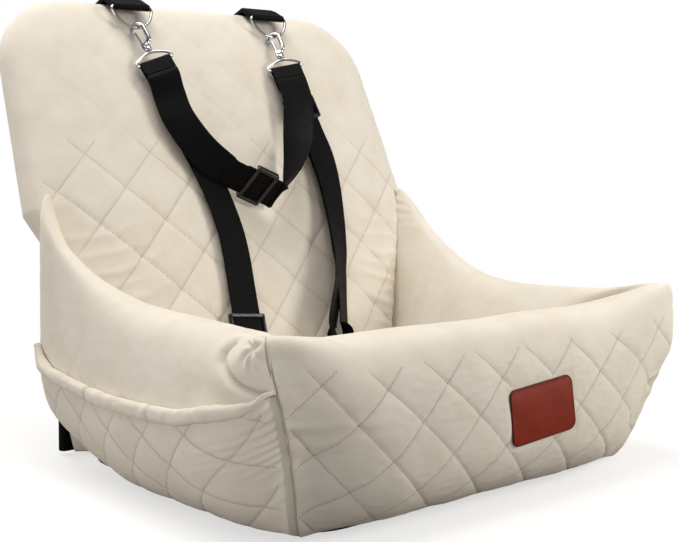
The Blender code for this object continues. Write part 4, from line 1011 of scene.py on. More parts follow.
def makePocket(name, sign):
    q, k = quilting, sideLattice
    shares = np.unique(np.concatenate([np.linspace(pocket["from"], pocket["from"] + 0.012, 10),
                                       np.linspace(pocket["from"], 0.3, 96),
                                       np.linspace(0.3, pocket["to"], pocket["rows"] - 99)]))
    face, arcs, run = outerFace(sign, shares)
    hem = hemLevel(shares)
    top = np.array([np.interp(h, f[:, 2], a) for h, f, a in zip(hem - 0.003, face, arcs)])
    wanted = np.array([np.linspace(0.003, t, pocket["columns"]) for t in top])
    grid = alongArc(face, arcs, wanted)
    along = np.gradient(grid, axis=0)
    upward = np.gradient(grid, axis=1)
    normal = np.cross(along, upward) * -sign
    normal /= np.linalg.norm(normal, axis=2, keepdims=True)
    if (normal[:, :, 0] * sign).sum() < 0:
        normal = -normal
    far = np.repeat(run[:, None], pocket["columns"], axis=1)
    under = np.repeat(top[:, None], pocket["columns"], axis=1) - wanted
    lines = ((far + k["acrossSlope"] * wanted, k["acrossStart"], k["acrossStep"], math.hypot(1, k["acrossSlope"])),
             (wanted - sideCurve(far), 0, k["alongStep"], 1.15))
    cover = ease(far / 0.03) * ease(wanted / 0.02) * ease((under + 0.004) / 0.02) * ease((run[-1] - far) / 0.02)
    lift = 0.0014 * cover
    for value, start, step, steep in lines:
        away = nearestLine(value, start, step) / steep
        lift = lift + channel(away, q["deep"], q["wide"], q["fineDeep"], q["fineWide"]) * cover * 0.9
    lift += 0.0022 * noiseAt(grid, 9, 41 + sign) + 0.0006 * noiseAt(grid, 34, 43)
    lift += 0.00035 * noiseAt(grid, 90, 47)
    # gathers that run from the corner seam into the panel
    waver = 0.0016 * noiseAt(grid, 40, 53)
    for start, deep, reach in pocketFolds:
        away = wanted + waver - (start - 0.45 * far)
        lift += 0.001 * deep * np.exp(-(away / 0.0031) ** 2) * np.exp(-(far / reach) ** 2)
    lift -= 0.0010 * np.exp(-(far / 0.03) ** 2) * ease((wanted - 0.07) / 0.02)
    # slack cloth hangs in short folds below the elastic
    gather = np.sin(far / 0.0145 * math.tau + 2.5 * noiseAt(grid, 13, 59))
    lift += 0.0007 * gather * np.exp(-under / 0.012) * ease(far / 0.05)
    lift += (0.0035 if sign > 0 else 0) * np.exp(-far / 0.03)
    ends = ease((far - far[0, 0]) / 0.006) * ease((run[-1] - far) / 0.012 + 0.15) * ease((wanted - 0.001) / 0.014)
    lift = (lift + pocket["offset"]) * ends + 0.0004 - 0.0022 * (1 - ease((far - far[0, 0]) / 0.0025))
    grid = grid + normal * lift[:, :, None]
    heel(grid, shares, 1)
    inside = np.array([np.linspace(t, 0.003, 8) for t in top])
    back = alongArc(face, arcs, inside) - normal[:, np.linspace(pocket["columns"] - 1, 0, 8).astype(int)] * 0.0016
    heel(back, shares, 1)
    panel = gridObject(name + "Pocket", np.concatenate([grid, back], axis=1), suede)
    # painted shade: the crease layer darkens the corner seam, a band just under the hem and the sewn channels
    crease = 0.9 * np.exp(-((far - far[0, 0]) / 0.0008) ** 2) + 0.25 * np.exp(-under / 0.003)
    for value, start, step, steep in lines:
        away = nearestLine(value, start, step) / steep
        crease = np.maximum(crease, 0.15 * np.exp(-(away / 0.0011) ** 2) * cover)
        stitchRuns["pocket"] += levelLines(grid, normal, value, cover, start, step, 0.45)
    full = np.concatenate([crease, np.zeros((len(shares), 8))], axis=1)
    creaseColour(panel, full.ravel())
    finishPiece(panel, "seat", [name + "_pocket"])
    makeHem(name, sign, face, arcs, run, shares, hem)


def makeHem(name, sign, face, arcs, run, shares, hem):
    # the roll is held by a stitch here and there, and slack between
    at = np.array([np.interp(h, f[:, 2], a) for h, f, a in zip(hem, face, arcs)])
    path = alongArc(face, arcs, at[:, None])[:, 0]
    above = alongArc(face, arcs, at[:, None] + 0.004)[:, 0]
    fine = np.linspace(run[0], run[-1], 420)
    path = np.stack([np.interp(fine, run, path[:, k]) for k in range(3)], axis=1)
    above = np.stack([np.interp(fine, run, above[:, k]) for k in range(3)], axis=1)
    ahead = np.gradient(path, axis=0)
    ahead /= np.linalg.norm(ahead, axis=1, keepdims=True)
    rise = above - path
    rise -= ahead * (rise * ahead).sum(axis=1, keepdims=True)
    rise /= np.linalg.norm(rise, axis=1, keepdims=True)
    out = np.cross(ahead, rise)
    if (out[:, 0] * sign).sum() < 0:
        out = -out
    turns = np.linspace(0, math.tau, 36, endpoint=False)
    across, high = np.cos(turns), np.sin(turns)
    across = np.sign(across) * np.abs(across) ** 0.9
    high = np.sign(high) * np.abs(high) ** 0.8
    pinch = np.zeros(len(fine))
    for place, deep in [(0.268, 1.0), (0.154, 0.8)] + [(0.035 + 0.029 * i + 0.006 * math.sin(i * 2.3), 0.16) for i in range(12)]:
        pinch = np.maximum(pinch, deep * np.exp(-((fine - place) / 0.0035) ** 2))
    taper = mix(0.30, 1, ease((fine - fine[0]) / 0.075)) * mix(0.45, 1, ease((fine[-1] - fine) / 0.02))
    high = high[None, :] * pocket["hemHigh"] * taper[:, None] * (1 - 0.16 * pinch[:, None])
    across = across[None, :] * pocket["hemDeep"] * taper[:, None] * (1 - 0.22 * pinch[:, None])
    middle = path + out * (pocket["hemOut"] * taper)[:, None]
    grid = middle[:, None] + out[:, None] * across[:, :, None] + rise[:, None] * high[:, :, None]
    normal = normalsOf(grid)
    # the roll twists a little, so its creases slant
    slant = fine[:, None] + 0.004 * turns[None, :]
    lift = 0.0007 * noiseAt(np.stack([slant * 90, np.cos(turns) + 0 * slant, np.sin(turns) + 0 * slant], axis=2), 1, 3)
    lift += 0.0009 * noiseAt(grid, 30, 61) + 0.0003 * noiseAt(grid, 110, 67)
    grid += normal * lift[:, :, None]
    heel(grid, np.interp(fine, run, shares), 1)
    roll = gridObject(name + "PocketHem", grid, suede)
    # painted shade: the crease layer darkens the roll's pinches and its underside
    crease = 0.5 * pinch[:, None] * np.ones(36)[None, :] * 0.6
    crease = np.maximum(crease, 0.5 * np.exp(-(((turns[None, :] - 1.5 * math.pi) / 0.5) ** 2)))
    creaseColour(roll, crease.ravel())
    finishPiece(roll, "seat", [name + "_pocket_hem"])


makePocket("left", -1)
makePocket("right", 1)
print("pockets made")


def stitchTree():
    # short stitches laid along every run of a polyline mesh, turned to face out of the cloth
    tree = bpy.data.node_groups.new("stitchRows", "GeometryNodeTree")
    face = tree.interface
    face.new_socket("Geometry", in_out="INPUT", socket_type="NodeSocketGeometry")
    for name, value in (("Stitch Pitch", 3.2 * mm), ("Stitch Length", 1.6 * mm), ("Thread Width", 0.9 * mm),
                        ("Thread Height", 0.5 * mm)):
        face.new_socket(name, in_out="INPUT", socket_type="NodeSocketFloat").default_value = value
    face.new_socket("Thread", in_out="INPUT", socket_type="NodeSocketMaterial")
    face.new_socket("Geometry", in_out="OUTPUT", socket_type="NodeSocketGeometry")
    given = addNode(tree, "NodeGroupInput").outputs
    rows = addNode(tree, "GeometryNodeMeshToCurve", {"Mesh": given["Geometry"]})
    spaced = addNode(tree, "GeometryNodeResampleCurve", {"Curve": rows.outputs[0], "Length": given["Stitch Pitch"]},
                     mode="LENGTH")
    away = addNode(tree, "GeometryNodeInputNamedAttribute", values={"Name": "surfaceNormal"}, data_type="FLOAT_VECTOR")
    ahead = addNode(tree, "GeometryNodeInputTangent")
    flat = addNode(tree, "FunctionNodeAlignRotationToVector", {"Vector": away.outputs["Attribute"]}, axis="Z")
    turned = addNode(tree, "FunctionNodeAlignRotationToVector", {"Rotation": flat.outputs[0], "Vector": ahead.outputs[0]},
                     axis="X", pivot_axis="Z")
    size = addNode(tree, "ShaderNodeCombineXYZ", {0: given["Stitch Length"], 1: given["Thread Width"],
                                                  2: given["Thread Height"]})
    bead = addNode(tree, "GeometryNodeMeshIcoSphere", values={"Radius": 0.5, "Subdivisions": 1})
    placed = addNode(tree, "GeometryNodeInstanceOnPoints",
                     {"Points": spaced.outputs[0], "Instance": bead.outputs["Mesh"], "Rotation": turned.outputs[0],
                      "Scale": size.outputs[0]})
    real = addNode(tree, "GeometryNodeRealizeInstances", {"Geometry": placed.outputs[0]})
    shown = addNode(tree, "GeometryNodeSetMaterial", {"Geometry": real.outputs[0], "Material": given["Thread"]})
    addNode(tree, "NodeGroupOutput", {0: shown.outputs[0]})
    return tree


def setInput(step, name, value):
    for item in step.node_group.interface.items_tree:
        if item.item_type == "SOCKET" and item.in_out == "INPUT" and item.name == name:
            step[item.identifier] = value


stitchNodes = stitchTree()


def makeStitches(name, runs, lift):
    points, edges, normals = [], [], []
    for run in runs:
        start = len(points)
        points += [spot + normal * lift for spot, normal in run]
        normals += [normal for spot, normal in run]
        edges += [(start + i, start + i + 1) for i in range(len(run) - 1)]
    mesh = bpy.data.meshes.new(name)
    mesh.from_pydata([tuple(p) for p in points], edges, [])
    away = mesh.attributes.new("surfaceNormal", "FLOAT_VECTOR", "POINT")
    away.data.foreach_set("vector", np.array(normals, np.float32).ravel())
    piece = bpy.data.objects.new(name, mesh)
    bpy.context.scene.collection.objects.link(piece)
    step = piece.modifiers.new("stitches", "NODES")
    step.node_group = stitchNodes
    setInput(step, "Thread", thread)
    dressed(piece)
    finishPiece(piece, "seat", [])
    print(name, len(runs), "rows", len(piece.data.polygons), "faces")


makeStitches("wallStitches", stitchRuns["wall"], 0.0003)
makeStitches("pocketStitches", stitchRuns["pocket"], 0.0003)
makeStitches("backrestStitches", stitchRuns["backrest"], 0.0003)


def roundedPlate(name, halfX, halfY, radius, low, high, edge, material, place=None, insets=()):
    # a plate with rounded corners and softened edges, z from low to high in its own frame
    turns = [math.radians(15 * i) for i in range(7)]
    profile = [(inset, low) for inset in sorted(insets, reverse=True)]
    profile += [(edge * (1 - math.sin(t)), low + edge * (1 - math.cos(t))) for t in turns]
    profile += [(edge * (1 - math.cos(t)), high - edge * (1 - math.sin(t))) for t in turns]
    profile += [(inset, high) for inset in sorted(insets)]
    rows = []
    for inset, z in profile:
        ring = roundedOutline(halfX - inset, halfY - inset, max(radius - inset, 0.0004), 8)[1:]
        rows.append([Vector((x, y, z)) for x, y in ring])
    if place is not None:
        rows = [[place @ p for p in row] for row in rows]
    return gridObject(name, rows, material), profile, len(rows[0])


baseParts = {"inset": 0.034, "corner": 0.060, "panel": 0.003, "zipX": 0.120, "zipZ": 0.007}


def makeBase():
    halfY = (b["front"] - baseParts["inset"] + b["rear"]) / 2
    halfX = b["halfWidth"] - baseParts["inset"]
    place = Matrix.Translation((0, b["rear"] - halfY, 0))
    bottom = roundedPlate("bottomCloth", halfX, halfY, baseParts["corner"], 0, baseParts["panel"], 0.001, oxford,
                          place, (0.012, 0.05))[0]
    # its upper side is lined with the seat's own cloth
    bottom.data.materials.append(suede)
    for polygon in bottom.data.polygons:
        polygon.material_index = int(polygon.normal.z > 0.5)
    finishPiece(bottom, "seat", ["bottom_panel"])
    low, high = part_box("base_foam")
    middle = (Vector(low) + Vector(high)) / 2
    half = (Vector(high) - Vector(low)) / 2
    block = roundedPlate("baseFoam", half.x, half.y, 0.004, -half.z, half.z, 0.003, foam, Matrix.Translation(middle),
                         (0.02, 0.06))[0]
    finishPiece(block, "seat", ["base_foam"])


def makeRearCloth():
    # the cloth behind the base, with a slot for the zip; its edges are turned in
    low, high = (Vector(corner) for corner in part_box("rear_cloth"))
    middleZ = (low.z + high.z) / 2
    xs = np.unique(np.concatenate([np.linspace(low.x, high.x, 90), [-baseParts["zipX"], baseParts["zipX"]]]))
    zs = np.unique(np.concatenate([np.linspace(low.z, high.z, 22), [middleZ - baseParts["zipZ"],
                                                                   middleZ + baseParts["zipZ"]]]))
    bm = bmesh.new()
    outer, inner = {}, {}
    for i, x in enumerate(xs):
        for j, z in enumerate(zs):
            edge = min(x - low.x, high.x - x, z - low.z, high.z - z)
            slot = max(abs(x) - baseParts["zipX"], abs(z - middleZ) - baseParts["zipZ"], 0)
            soft = 0.0012 * noise.noise(Vector((x, 0, z)) * 24) + 0.0005 * noise.noise(Vector((x, 3, z)) * 70)
            puff = (soft + 0.0008) * float(ease(edge / 0.006)) * float(ease(slot / 0.006))
            roll = 0.0008 * float(1 - ease(slot / 0.0016)) * (slot > 0 or 0)
            outer[i, j] = bm.verts.new((x, high.y + puff - roll * 0.3 - 0.0006 * float(1 - ease(edge / 0.002)), z))
            inner[i, j] = bm.verts.new((x, low.y + 0.0003, z))
    kept = {}
    for i in range(len(xs) - 1):
        for j in range(len(zs) - 1):
            x, z = (xs[i] + xs[i + 1]) / 2, (zs[j] + zs[j + 1]) / 2
            kept[i, j] = not (abs(x) < baseParts["zipX"] and abs(z - middleZ) < baseParts["zipZ"])
    for (i, j), keep in kept.items():
        if not keep:
            continue
        corners = ((i, j), (i + 1, j), (i + 1, j + 1), (i, j + 1))
        bm.faces.new([outer[c] for c in corners])
        bm.faces.new([inner[c] for c in corners[::-1]])
        for (a, c), beside in zip(zip(corners, corners[1:] + corners[:1]), ((i, j - 1), (i + 1, j), (i, j + 1), (i - 1, j))):
            if not kept.get(beside, False):
                bm.faces.new((outer[a], inner[a], inner[c], outer[c]))
    for lonely in [v for v in bm.verts if not v.link_faces]:
        bm.verts.remove(lonely)
    bmesh.ops.recalc_face_normals(bm, faces=bm.faces)
    mesh = bpy.data.meshes.new("rearCloth")
    bm.to_mesh(mesh)
    bm.free()
    cloth = joinUp("rearCloth", mesh, suede)
    # painted shade: the crease layer darkens the cloth round the zip slot's edge
    creaseColour(cloth, [0.3 if max(abs(v.co.x) - baseParts["zipX"], abs(v.co.z - middleZ) - baseParts["zipZ"]) < 0.0008
                         else 0 for v in mesh.vertices])
    finishPiece(cloth, "seat", ["rear_cloth"])


makeBase()
makeRearCloth()
print("base made")

zipParts = {"pitch": 2.6 * mm, "tooth": (1.5 * mm, 1.0 * mm, 3.4 * mm)}


def toothTree():
    # one row of moulded teeth: two sides that mesh, set half a pitch apart
    tree = bpy.data.node_groups.new("zipTeeth", "GeometryNodeTree")
    face = tree.interface
    for name, value in (("Row Length", 0.226), ("Tooth Pitch", zipParts["pitch"])):
        face.new_socket(name, in_out="INPUT", socket_type="NodeSocketFloat").default_value = value
    face.new_socket("Tooth Size", in_out="INPUT", socket_type="NodeSocketVector").default_value = zipParts["tooth"]
    face.new_socket("Row Start", in_out="INPUT", socket_type="NodeSocketVector")
    face.new_socket("Metal", in_out="INPUT", socket_type="NodeSocketMaterial")
    face.new_socket("Geometry", in_out="OUTPUT", socket_type="NodeSocketGeometry")
    given = addNode(tree, "NodeGroupInput").outputs
    tooth = addNode(tree, "GeometryNodeMeshCube", {"Size": given["Tooth Size"]})
    count = addNode(tree, "ShaderNodeMath", {0: given["Row Length"], 1: given["Tooth Pitch"]}, operation="DIVIDE")
    rows = []
    for side in (1, -1):
        step = addNode(tree, "ShaderNodeCombineXYZ", {0: given["Tooth Pitch"]})
        half = addNode(tree, "ShaderNodeMath", {0: given["Tooth Pitch"]}, {1: 0.25 * side}, operation="MULTIPLY")
        shift = addNode(tree, "ShaderNodeCombineXYZ", {0: half.outputs[0]}, {2: side * 0.8 * mm})
        start = addNode(tree, "ShaderNodeVectorMath", {0: given["Row Start"], 1: shift.outputs[0]}, operation="ADD")
        row = addNode(tree, "GeometryNodeMeshLine", {"Count": count.outputs[0], "Start Location": start.outputs[0],
                                                     "Offset": step.outputs[0]}, mode="OFFSET")
        rows.append(addNode(tree, "GeometryNodeInstanceOnPoints", {"Points": row.outputs[0],
                                                                  "Instance": tooth.outputs["Mesh"]}).outputs[0])
    both = addNode(tree, "GeometryNodeJoinGeometry", {0: rows[0]})
    tree.links.new(rows[1], both.inputs[0])
    real = addNode(tree, "GeometryNodeRealizeInstances", {"Geometry": both.outputs[0]})
    shown = addNode(tree, "GeometryNodeSetMaterial", {"Geometry": real.outputs[0], "Material": given["Metal"]})
    addNode(tree, "NodeGroupOutput", {0: shown.outputs[0]})
    return tree


def makeZip():
    low, high = (Vector(corner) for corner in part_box("zip_tape"))
    middle = (low + high) / 2
    # the tape lies just inside the slot
    place = Matrix.Translation(middle) @ Matrix.Rotation(math.pi / 2, 4, "X")
    tape = roundedPlate("zipTape", (high.x - low.x) / 2, (high.z - low.z) / 2, 0.0006, -0.0008, 0.0004, 0.0002, zipTape,
                        place, (0.003,))[0]
    finishPiece(tape, "seat", ["zip_tape"])
    teeth = bpy.data.objects.new("zipTeeth", bpy.data.meshes.new("zipTeeth"))
    bpy.context.scene.collection.objects.link(teeth)
    step = teeth.modifiers.new("teeth", "NODES")
    step.node_group = toothTree()
    setInput(step, "Row Start", (low.x + 0.006, high.y - 0.0003, middle.z))
    setInput(step, "Metal", zipMetal)
    dressed(teeth)
    bevel = teeth.modifiers.new("softened", "BEVEL")
    bevel.width, bevel.segments = 0.25 * mm, 1
    dressed(teeth)
    finishPiece(teeth, "seat", [])


makeZip()
print("zip made")


def makePatch():
    # bare leather that lies on the wall; its rim is burnished
    k = patch
    half = k["thickness"] / 2
    panel, profile, around = roundedPlate("leatherPatch", k["width"] / 2, k["height"] / 2, k["corner"], -half, half,
                                          0.0007, leather, None, (0.0012, 0.002, 0.003, 0.006, 0.012, 0.020, 0.0265))
    out = patchPlace.to_3x3() @ Vector((0, 0, 1))
    for vertex in panel.data.vertices:
        spot = patchPlace @ Vector((vertex.co.x, vertex.co.y, 0))
        hits = []
        for dx, dy in ((0, 0), (0.003, 0), (-0.003, 0), (0, 0.003), (0, -0.003)):
            start = patchPlace @ Vector((vertex.co.x + dx, vertex.co.y + dy, 0.05))
            found = frontSurface.ray_cast(start, -out)[0]
            if found is not None:
                hits.append((found - spot).dot(out))
        level = sum(hits) / len(hits) if hits else -half
        edge = max(abs(vertex.co.x) / (k["width"] / 2), abs(vertex.co.y) / (k["height"] / 2))
        dip = 0.0004 * math.exp(-(((1 - edge) * 0.03 - 0.0028) / 0.0006) ** 2) if vertex.co.z > 0 else 0
        vertex.co = spot + out * (level + vertex.co.z + half + 0.0001 - dip)
    rim = [float(1 - ease((inset - 0.0006) / 0.0016)) for inset, z in profile for j in range(around)]
    creaseColour(panel, np.array(rim) * 0.9)
    finishPiece(panel, "seat", ["leather_patch"])


makePatch()
print("patch made")

strap = {"width": 0.038, "thickness": 0.0016, "run": 0.038 * 13.053, "reach": 2.647, "clipZone": 0.6,
         "layerSpace": 0.0007, "loopSpace": 0.00091, "fineness": 4, "topLength": 0.020}
clip = {"tab": 0.102, "drop": 0.017, "ahead": 0.001, "wire": 0.0018, "inner": 0.050, "depth": 0.027, "lift": 13,
        "tilts": {"left": 8, "right": -3}, "hookWire": 0.0022, "halfWidth": 0.0076, "hookLength": 0.030,
        "barrel": 0.0043, "barrelLength": 0.009, "plane": 48, "eyeWire": 0.0017, "eyeInner": 0.041, "eyeDrop": 0.012,
        "eyeTurn": 24, "foldLength": 0.015, "gap": 0.0003, "pinGap": 0.00015, "stemGap": 0.0002, "gateGap": 0.00035,
        "strapGap": 0.0006, "foldGap": 0.00095, "gateEye": 0.0024, "gateEyeWidth": 0.003,
        "lugWidth": 0.0086, "lugHeight": 0.008, "lugThick": 0.0064}
tabLevel = backrest["length"] - clip["drop"]
barrelStart = clip["hookLength"] - clip["wire"] - clip["hookWire"] - clip["gap"]
barrelEnd = barrelStart + clip["barrelLength"]
crookTop = -(clip["wire"] + clip["hookWire"] + clip["gap"])
crookCentre = crookTop + clip["halfWidth"]
barDown = barrelEnd + clip["eyeWire"] * 2 + clip["eyeDrop"]


def smooth(points, steps):
    # a Catmull-Rom curve through the points
    path = []
    last = len(points) - 1
    for i in range(last):
        before, start, end, after = points[max(i - 1, 0)], points[i], points[i + 1], points[min(i + 2, last)]
        for step in range(steps):
            t = step / steps
            path.append(0.5 * (2 * start + (end - before) * t + (2 * before - 5 * start + 4 * end - after) * t * t
                               + (3 * start - before - 3 * end + after) * t ** 3))
    path.append(points[-1])
    return path


def tubePiece(name, path, radii, material, closed=False, around=18):
    # a round bar along a path, its ring kept from twisting
    count = len(path)
    rows = []
    side = None
    for i, point in enumerate(path):
        before = path[i - 1] if (closed or i) else path[0]
        after = path[(i + 1) % count] if (closed or i < count - 1) else path[-1]
        ahead = (after - before).normalized()
        if side is None:
            side = ahead.orthogonal()
        side = (side - ahead * side.dot(ahead)).normalized()
        other = ahead.cross(side)
        rows.append([point + (side * math.cos(math.tau * j / around) + other * math.sin(math.tau * j / around)) * radii[i]
                     for j in range(around)])
    if closed:
        # the last ring is turned on to meet the first
        first = rows[0]
        best = min(range(around), key=lambda k: (rows[-1][0] - first[k]).length)
        rows.append(first[best:] + first[:best])
    piece = gridObject(name, rows, material, capEnds=not closed)
    if closed:
        mergeDoubles(piece)
    return piece


def mergeDoubles(piece):
    bm = bmesh.new()
    bm.from_mesh(piece.data)
    bmesh.ops.remove_doubles(bm, verts=bm.verts, dist=1e-6)
    bmesh.ops.recalc_face_normals(bm, faces=bm.faces)
    bm.to_mesh(piece.data)
    bm.free()


def lathePiece(name, place, profile, material, around=28):
    # turned about the local Z: (z, radius) pairs
    rows = [[place @ Vector((r * math.cos(math.tau * j / around), r * math.sin(math.tau * j / around), z))
             for j in range(around)] for z, r in profile]
    return gridObject(name, rows, material)


def softBox(name, place, half, edge, material):
    return roundedPlate(name, half[0], half[1], min(edge * 1.6, half[0] * 0.98, half[1] * 0.98), -half[2], half[2], edge,
                        material, place, (min(half[0], half[1]) * 0.6,))[0]


def joined(name, pieces):
    # several closed shells kept as one piece
    bm = bmesh.new()
    for piece in pieces:
        bm.from_mesh(piece.data)
    material = pieces[0].data.materials[0]
    for piece in pieces:
        bpy.data.objects.remove(piece, do_unlink=True)
    mesh = bpy.data.meshes.new(name)
    bm.to_mesh(mesh)
    bm.free()
    return joinUp(name, mesh, material)


def dRing(name, middle):
    # round bar bent to a D, its straight side through the tab
    k = clip
    half = k["inner"] / 2 + k["wire"]
    points = [(x, 0) for x in (-half + 0.004, -half / 2, 0, half / 2, half - 0.004)]
    points += [(half - 0.0012, -0.0008), (half, -0.004)]
    points += [(half * math.cos(math.radians(t)), -k["depth"] * math.sin(math.radians(t))) for t in range(18, 170, 9)]
    points += [(-half, -0.004), (-half + 0.0012, -0.0008)]
    path = [planePoint(middle + x, tabLevel + y, k["ahead"]) for x, y in points]
    path = smooth(path + [path[0]], 4)[:-1]
    ring = tubePiece(name + "DRing", path, [k["wire"]] * len(path), chrome, closed=True)
    finishPiece(ring, name + "_ring", [name + "_d_ring"])


def clipFrame(middle, tilt):
    tilt, lift = math.radians(tilt), math.radians(clip["lift"])
    hang = (acrossAxis * math.sin(tilt) - upBack * math.cos(tilt)) * math.cos(lift) + outFront * math.sin(lift)
    hang.normalize()
    side = (acrossAxis - hang * acrossAxis.dot(hang)).normalized()
    front = hang.cross(side)
    if front.dot(outFront) < 0:
        front = -front
    return planePoint(middle, tabLevel - clip["depth"], clip["ahead"]), side, front, hang


def turned(side, front, degrees):
    turn = math.radians(degrees)
    return side * math.cos(turn) + front * math.sin(turn)


def frameOf(origin, x, y, z):
    return Matrix.Translation(origin) @ Matrix((x, y, z)).transposed().to_4x4()


def snapHook(name, frame):
    # die-cast trigger hook: a bowed finger, a lug for the trigger and a turned barrel for the swivel
    k = clip
    origin, side, front, hang = frame
    lateral = turned(side, front, k["plane"])
    normal = hang.cross(lateral)

    def place(s, d, m=0.0):
        return origin + lateral * s + hang * d + normal * m

    points = [(0, barrelStart + 0.001), (k["halfWidth"] * 0.45, barrelStart - k["hookWire"] * 1.3),
              (k["halfWidth"] * 0.9, barrelStart - k["hookWire"] * 3), (k["halfWidth"], crookCentre)]
    points += [(k["halfWidth"] * math.cos(math.radians(t)), crookCentre - k["halfWidth"] * math.sin(math.radians(t)))
               for t in range(20, 181, 20)]
    points += [(-k["halfWidth"], crookCentre + k["hookWire"] * d) for d in (1.2, 2)]
    path = smooth([place(s, d) for s, d in points], 5)
    shares = np.interp(np.linspace(0, 1, len(path)), [0, 0.14, 0.3, 0.85, 0.97, 1], [1.3, 1.35, 1.02, 1.0, 0.8, 0.62])
    wire = tubePiece("hookWire", path, shares * k["hookWire"], chrome, around=22)
    turnedPlace = frameOf(place(0, 0), lateral, normal, hang)
    r = k["barrel"]
    barrel = lathePiece("hookBarrel", turnedPlace, [
        (barrelStart - 0.0012, r * 0.55), (barrelStart - 0.0008, r * 0.82), (barrelStart, r * 0.97), (barrelStart + 0.001, r),
        (barrelStart + 0.0032, r), (barrelStart + 0.0036, r * 0.92), (barrelStart + 0.0042, r * 0.92),
        (barrelStart + 0.0046, r), (barrelEnd - 0.001, r), (barrelEnd - 0.0003, r * 0.93), (barrelEnd, r * 0.8),
        (barrelEnd, 0.0018 + k["stemGap"]), (barrelEnd - 0.0035, 0.0018 + k["stemGap"])], chrome)
    pivotSide, pivotDown = -(k["gateEye"] + k["gateGap"]), barrelStart + k["gateEye"] / 2
    half = k["lugThick"] / 2
    slot = k["gateEyeWidth"] / 2 + k["gap"]
    cheeks = []
    for sign in (1, -1):
        spot = place(pivotSide - k["gateEye"] + k["lugWidth"] / 2 - 0.0003, pivotDown, sign * (half + slot) / 2)
        cheeks.append(softBox("lugCheek", frameOf(spot, lateral, hang, lateral.cross(hang)),
                              (k["lugWidth"] / 2 - 0.0003, k["lugHeight"] / 2, (half - slot) / 2), 0.0005, chrome))
    hook = joined(name + "Hook", [wire, barrel] + cheeks)
    finishPiece(hook, name + "_hook_body", [name + "_hook"])


def swivelEye(name, frame):
    # bent wire: a narrow throat at the swivel, shoulders, and a straight bar for the webbing
    k = clip
    origin, side, front, hang = frame
    bar = turned(side, front, k["eyeTurn"])
    half = k["eyeInner"] / 2 + k["eyeWire"]
    top = barrelEnd + k["eyeWire"] + k["stemGap"]
    foldOuter = k["eyeWire"] + k["strapGap"] + strap["thickness"]
    shoulder = barDown - foldOuter - k["eyeWire"] - k["strapGap"]
    loop = [(0, top), (half * 0.17, top + k["eyeWire"] * 0.15), (half * 0.36, top + k["eyeWire"] * 0.8),
            (half * 0.66, mix(top, shoulder, 0.55)), (half * 0.92, shoulder), (half, barDown - foldOuter),
            (half, barDown - k["eyeWire"] / 2), (half * 0.965, barDown), (half * 0.88, barDown), (half * 0.45, barDown),
            (0, barDown)]
    loop += [(-x, d) for x, d in loop[1:10][::-1]]
    path = [origin + bar * x + hang * d for x, d in loop]
    path = smooth(path + [path[0]], 5)[:-1]
    wire = tubePiece("eyeWire", path, [k["eyeWire"]] * len(path), chrome, closed=True)
    stemTop = barrelEnd - 0.005 + k["stemGap"]
    place = frameOf(origin, bar, hang.cross(bar), hang)
    stem = lathePiece("eyeStem", place, [(stemTop, 0.0012), (stemTop + 0.0003, 0.0018), (top - 0.0016, 0.0018),
                                         (top - 0.0012, 0.0026), (top - 0.0002, 0.0029), (top + 0.0008, 0.0026),
                                         (top + 0.0012, 0.0014)], chrome)
    eye = joined(name + "Eye", [wire, stem])
    finishPiece(eye, name + "_eye_body", [name + "_eye"])
    return bar


def webbingRows(centres, widths, leave=None, rows=24):
    # a strap: its edges are round and a little thicker, where the weave turns
    thick = strap["thickness"] / 2
    half = strap["width"] / 2
    count = len(centres)
    across = np.linspace(-1, 1, 13)
    section = [(half * a, thick * (0.86 + 0.14 * abs(a) ** 6)) for a in across * (1 - thick / half)]
    rim = [(half - thick + thick * math.cos(t), thick * math.sin(t)) for t in (0.9, 0.3, -0.3, -0.9)]
    ring = section + rim + [(x, -y) for x, y in section[::-1]] + [(-x, -y) for x, y in rim]
    grid, run, spots = [], 0.0, []
    for i in range(count):
        ahead = centres[min(i + 1, count - 1)] - centres[max(i - 1, 0)]
        ahead = leave if leave and i == 0 else ahead.normalized()
        wide = (widths[i] - ahead * widths[i].dot(ahead)).normalized()
        if leave:
            wide = widths[0].lerp(wide, float(ease(i / rows))).normalized()
        face = ahead.cross(wide).normalized()
        if i:
            run += (centres[i] - centres[i - 1]).length
        grid.append([centres[i] + wide * x + face * y for x, y in ring])
        spots.append(run)
    return grid, spots, ring


def woven(name, grid, spots, ring):
    piece = gridObject(name, grid, webbing)
    piece.data.set_sharp_from_angle(angle=math.radians(60))
    mesh = piece.data
    layer = mesh.uv_layers.new(name="weave")
    around = len(ring)
    where = np.zeros((len(mesh.vertices), 2))
    for i, run in enumerate(spots):
        where[i * around:(i + 1) * around] = [(run, x) for x, y in ring]
    where[len(spots) * around:] = 0
    corner = np.zeros(len(mesh.loops), int)
    mesh.loops.foreach_get("vertex_index", corner)
    layer.data.foreach_set("uv", where[corner].astype(np.float32).ravel())
    return piece


def bendWith(piece, nodes):
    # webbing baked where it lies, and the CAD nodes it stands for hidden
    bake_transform(piece)
    if nodes:
        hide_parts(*nodes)


def hungStrap(name, node, rows, topLength):
    # a strap in two pieces: its top, up to topLength, and the rest, which hides the strap's CAD node
    grid, spots, ring = rows
    cut = next(i for i, run in enumerate(spots) if run >= topLength)
    top = woven(name + "Top", grid[:cut + 1], spots[:cut + 1], ring)
    bendWith(top, [])
    rest = woven(name, grid[cut:], spots[cut:], ring)
    bendWith(rest, [node])


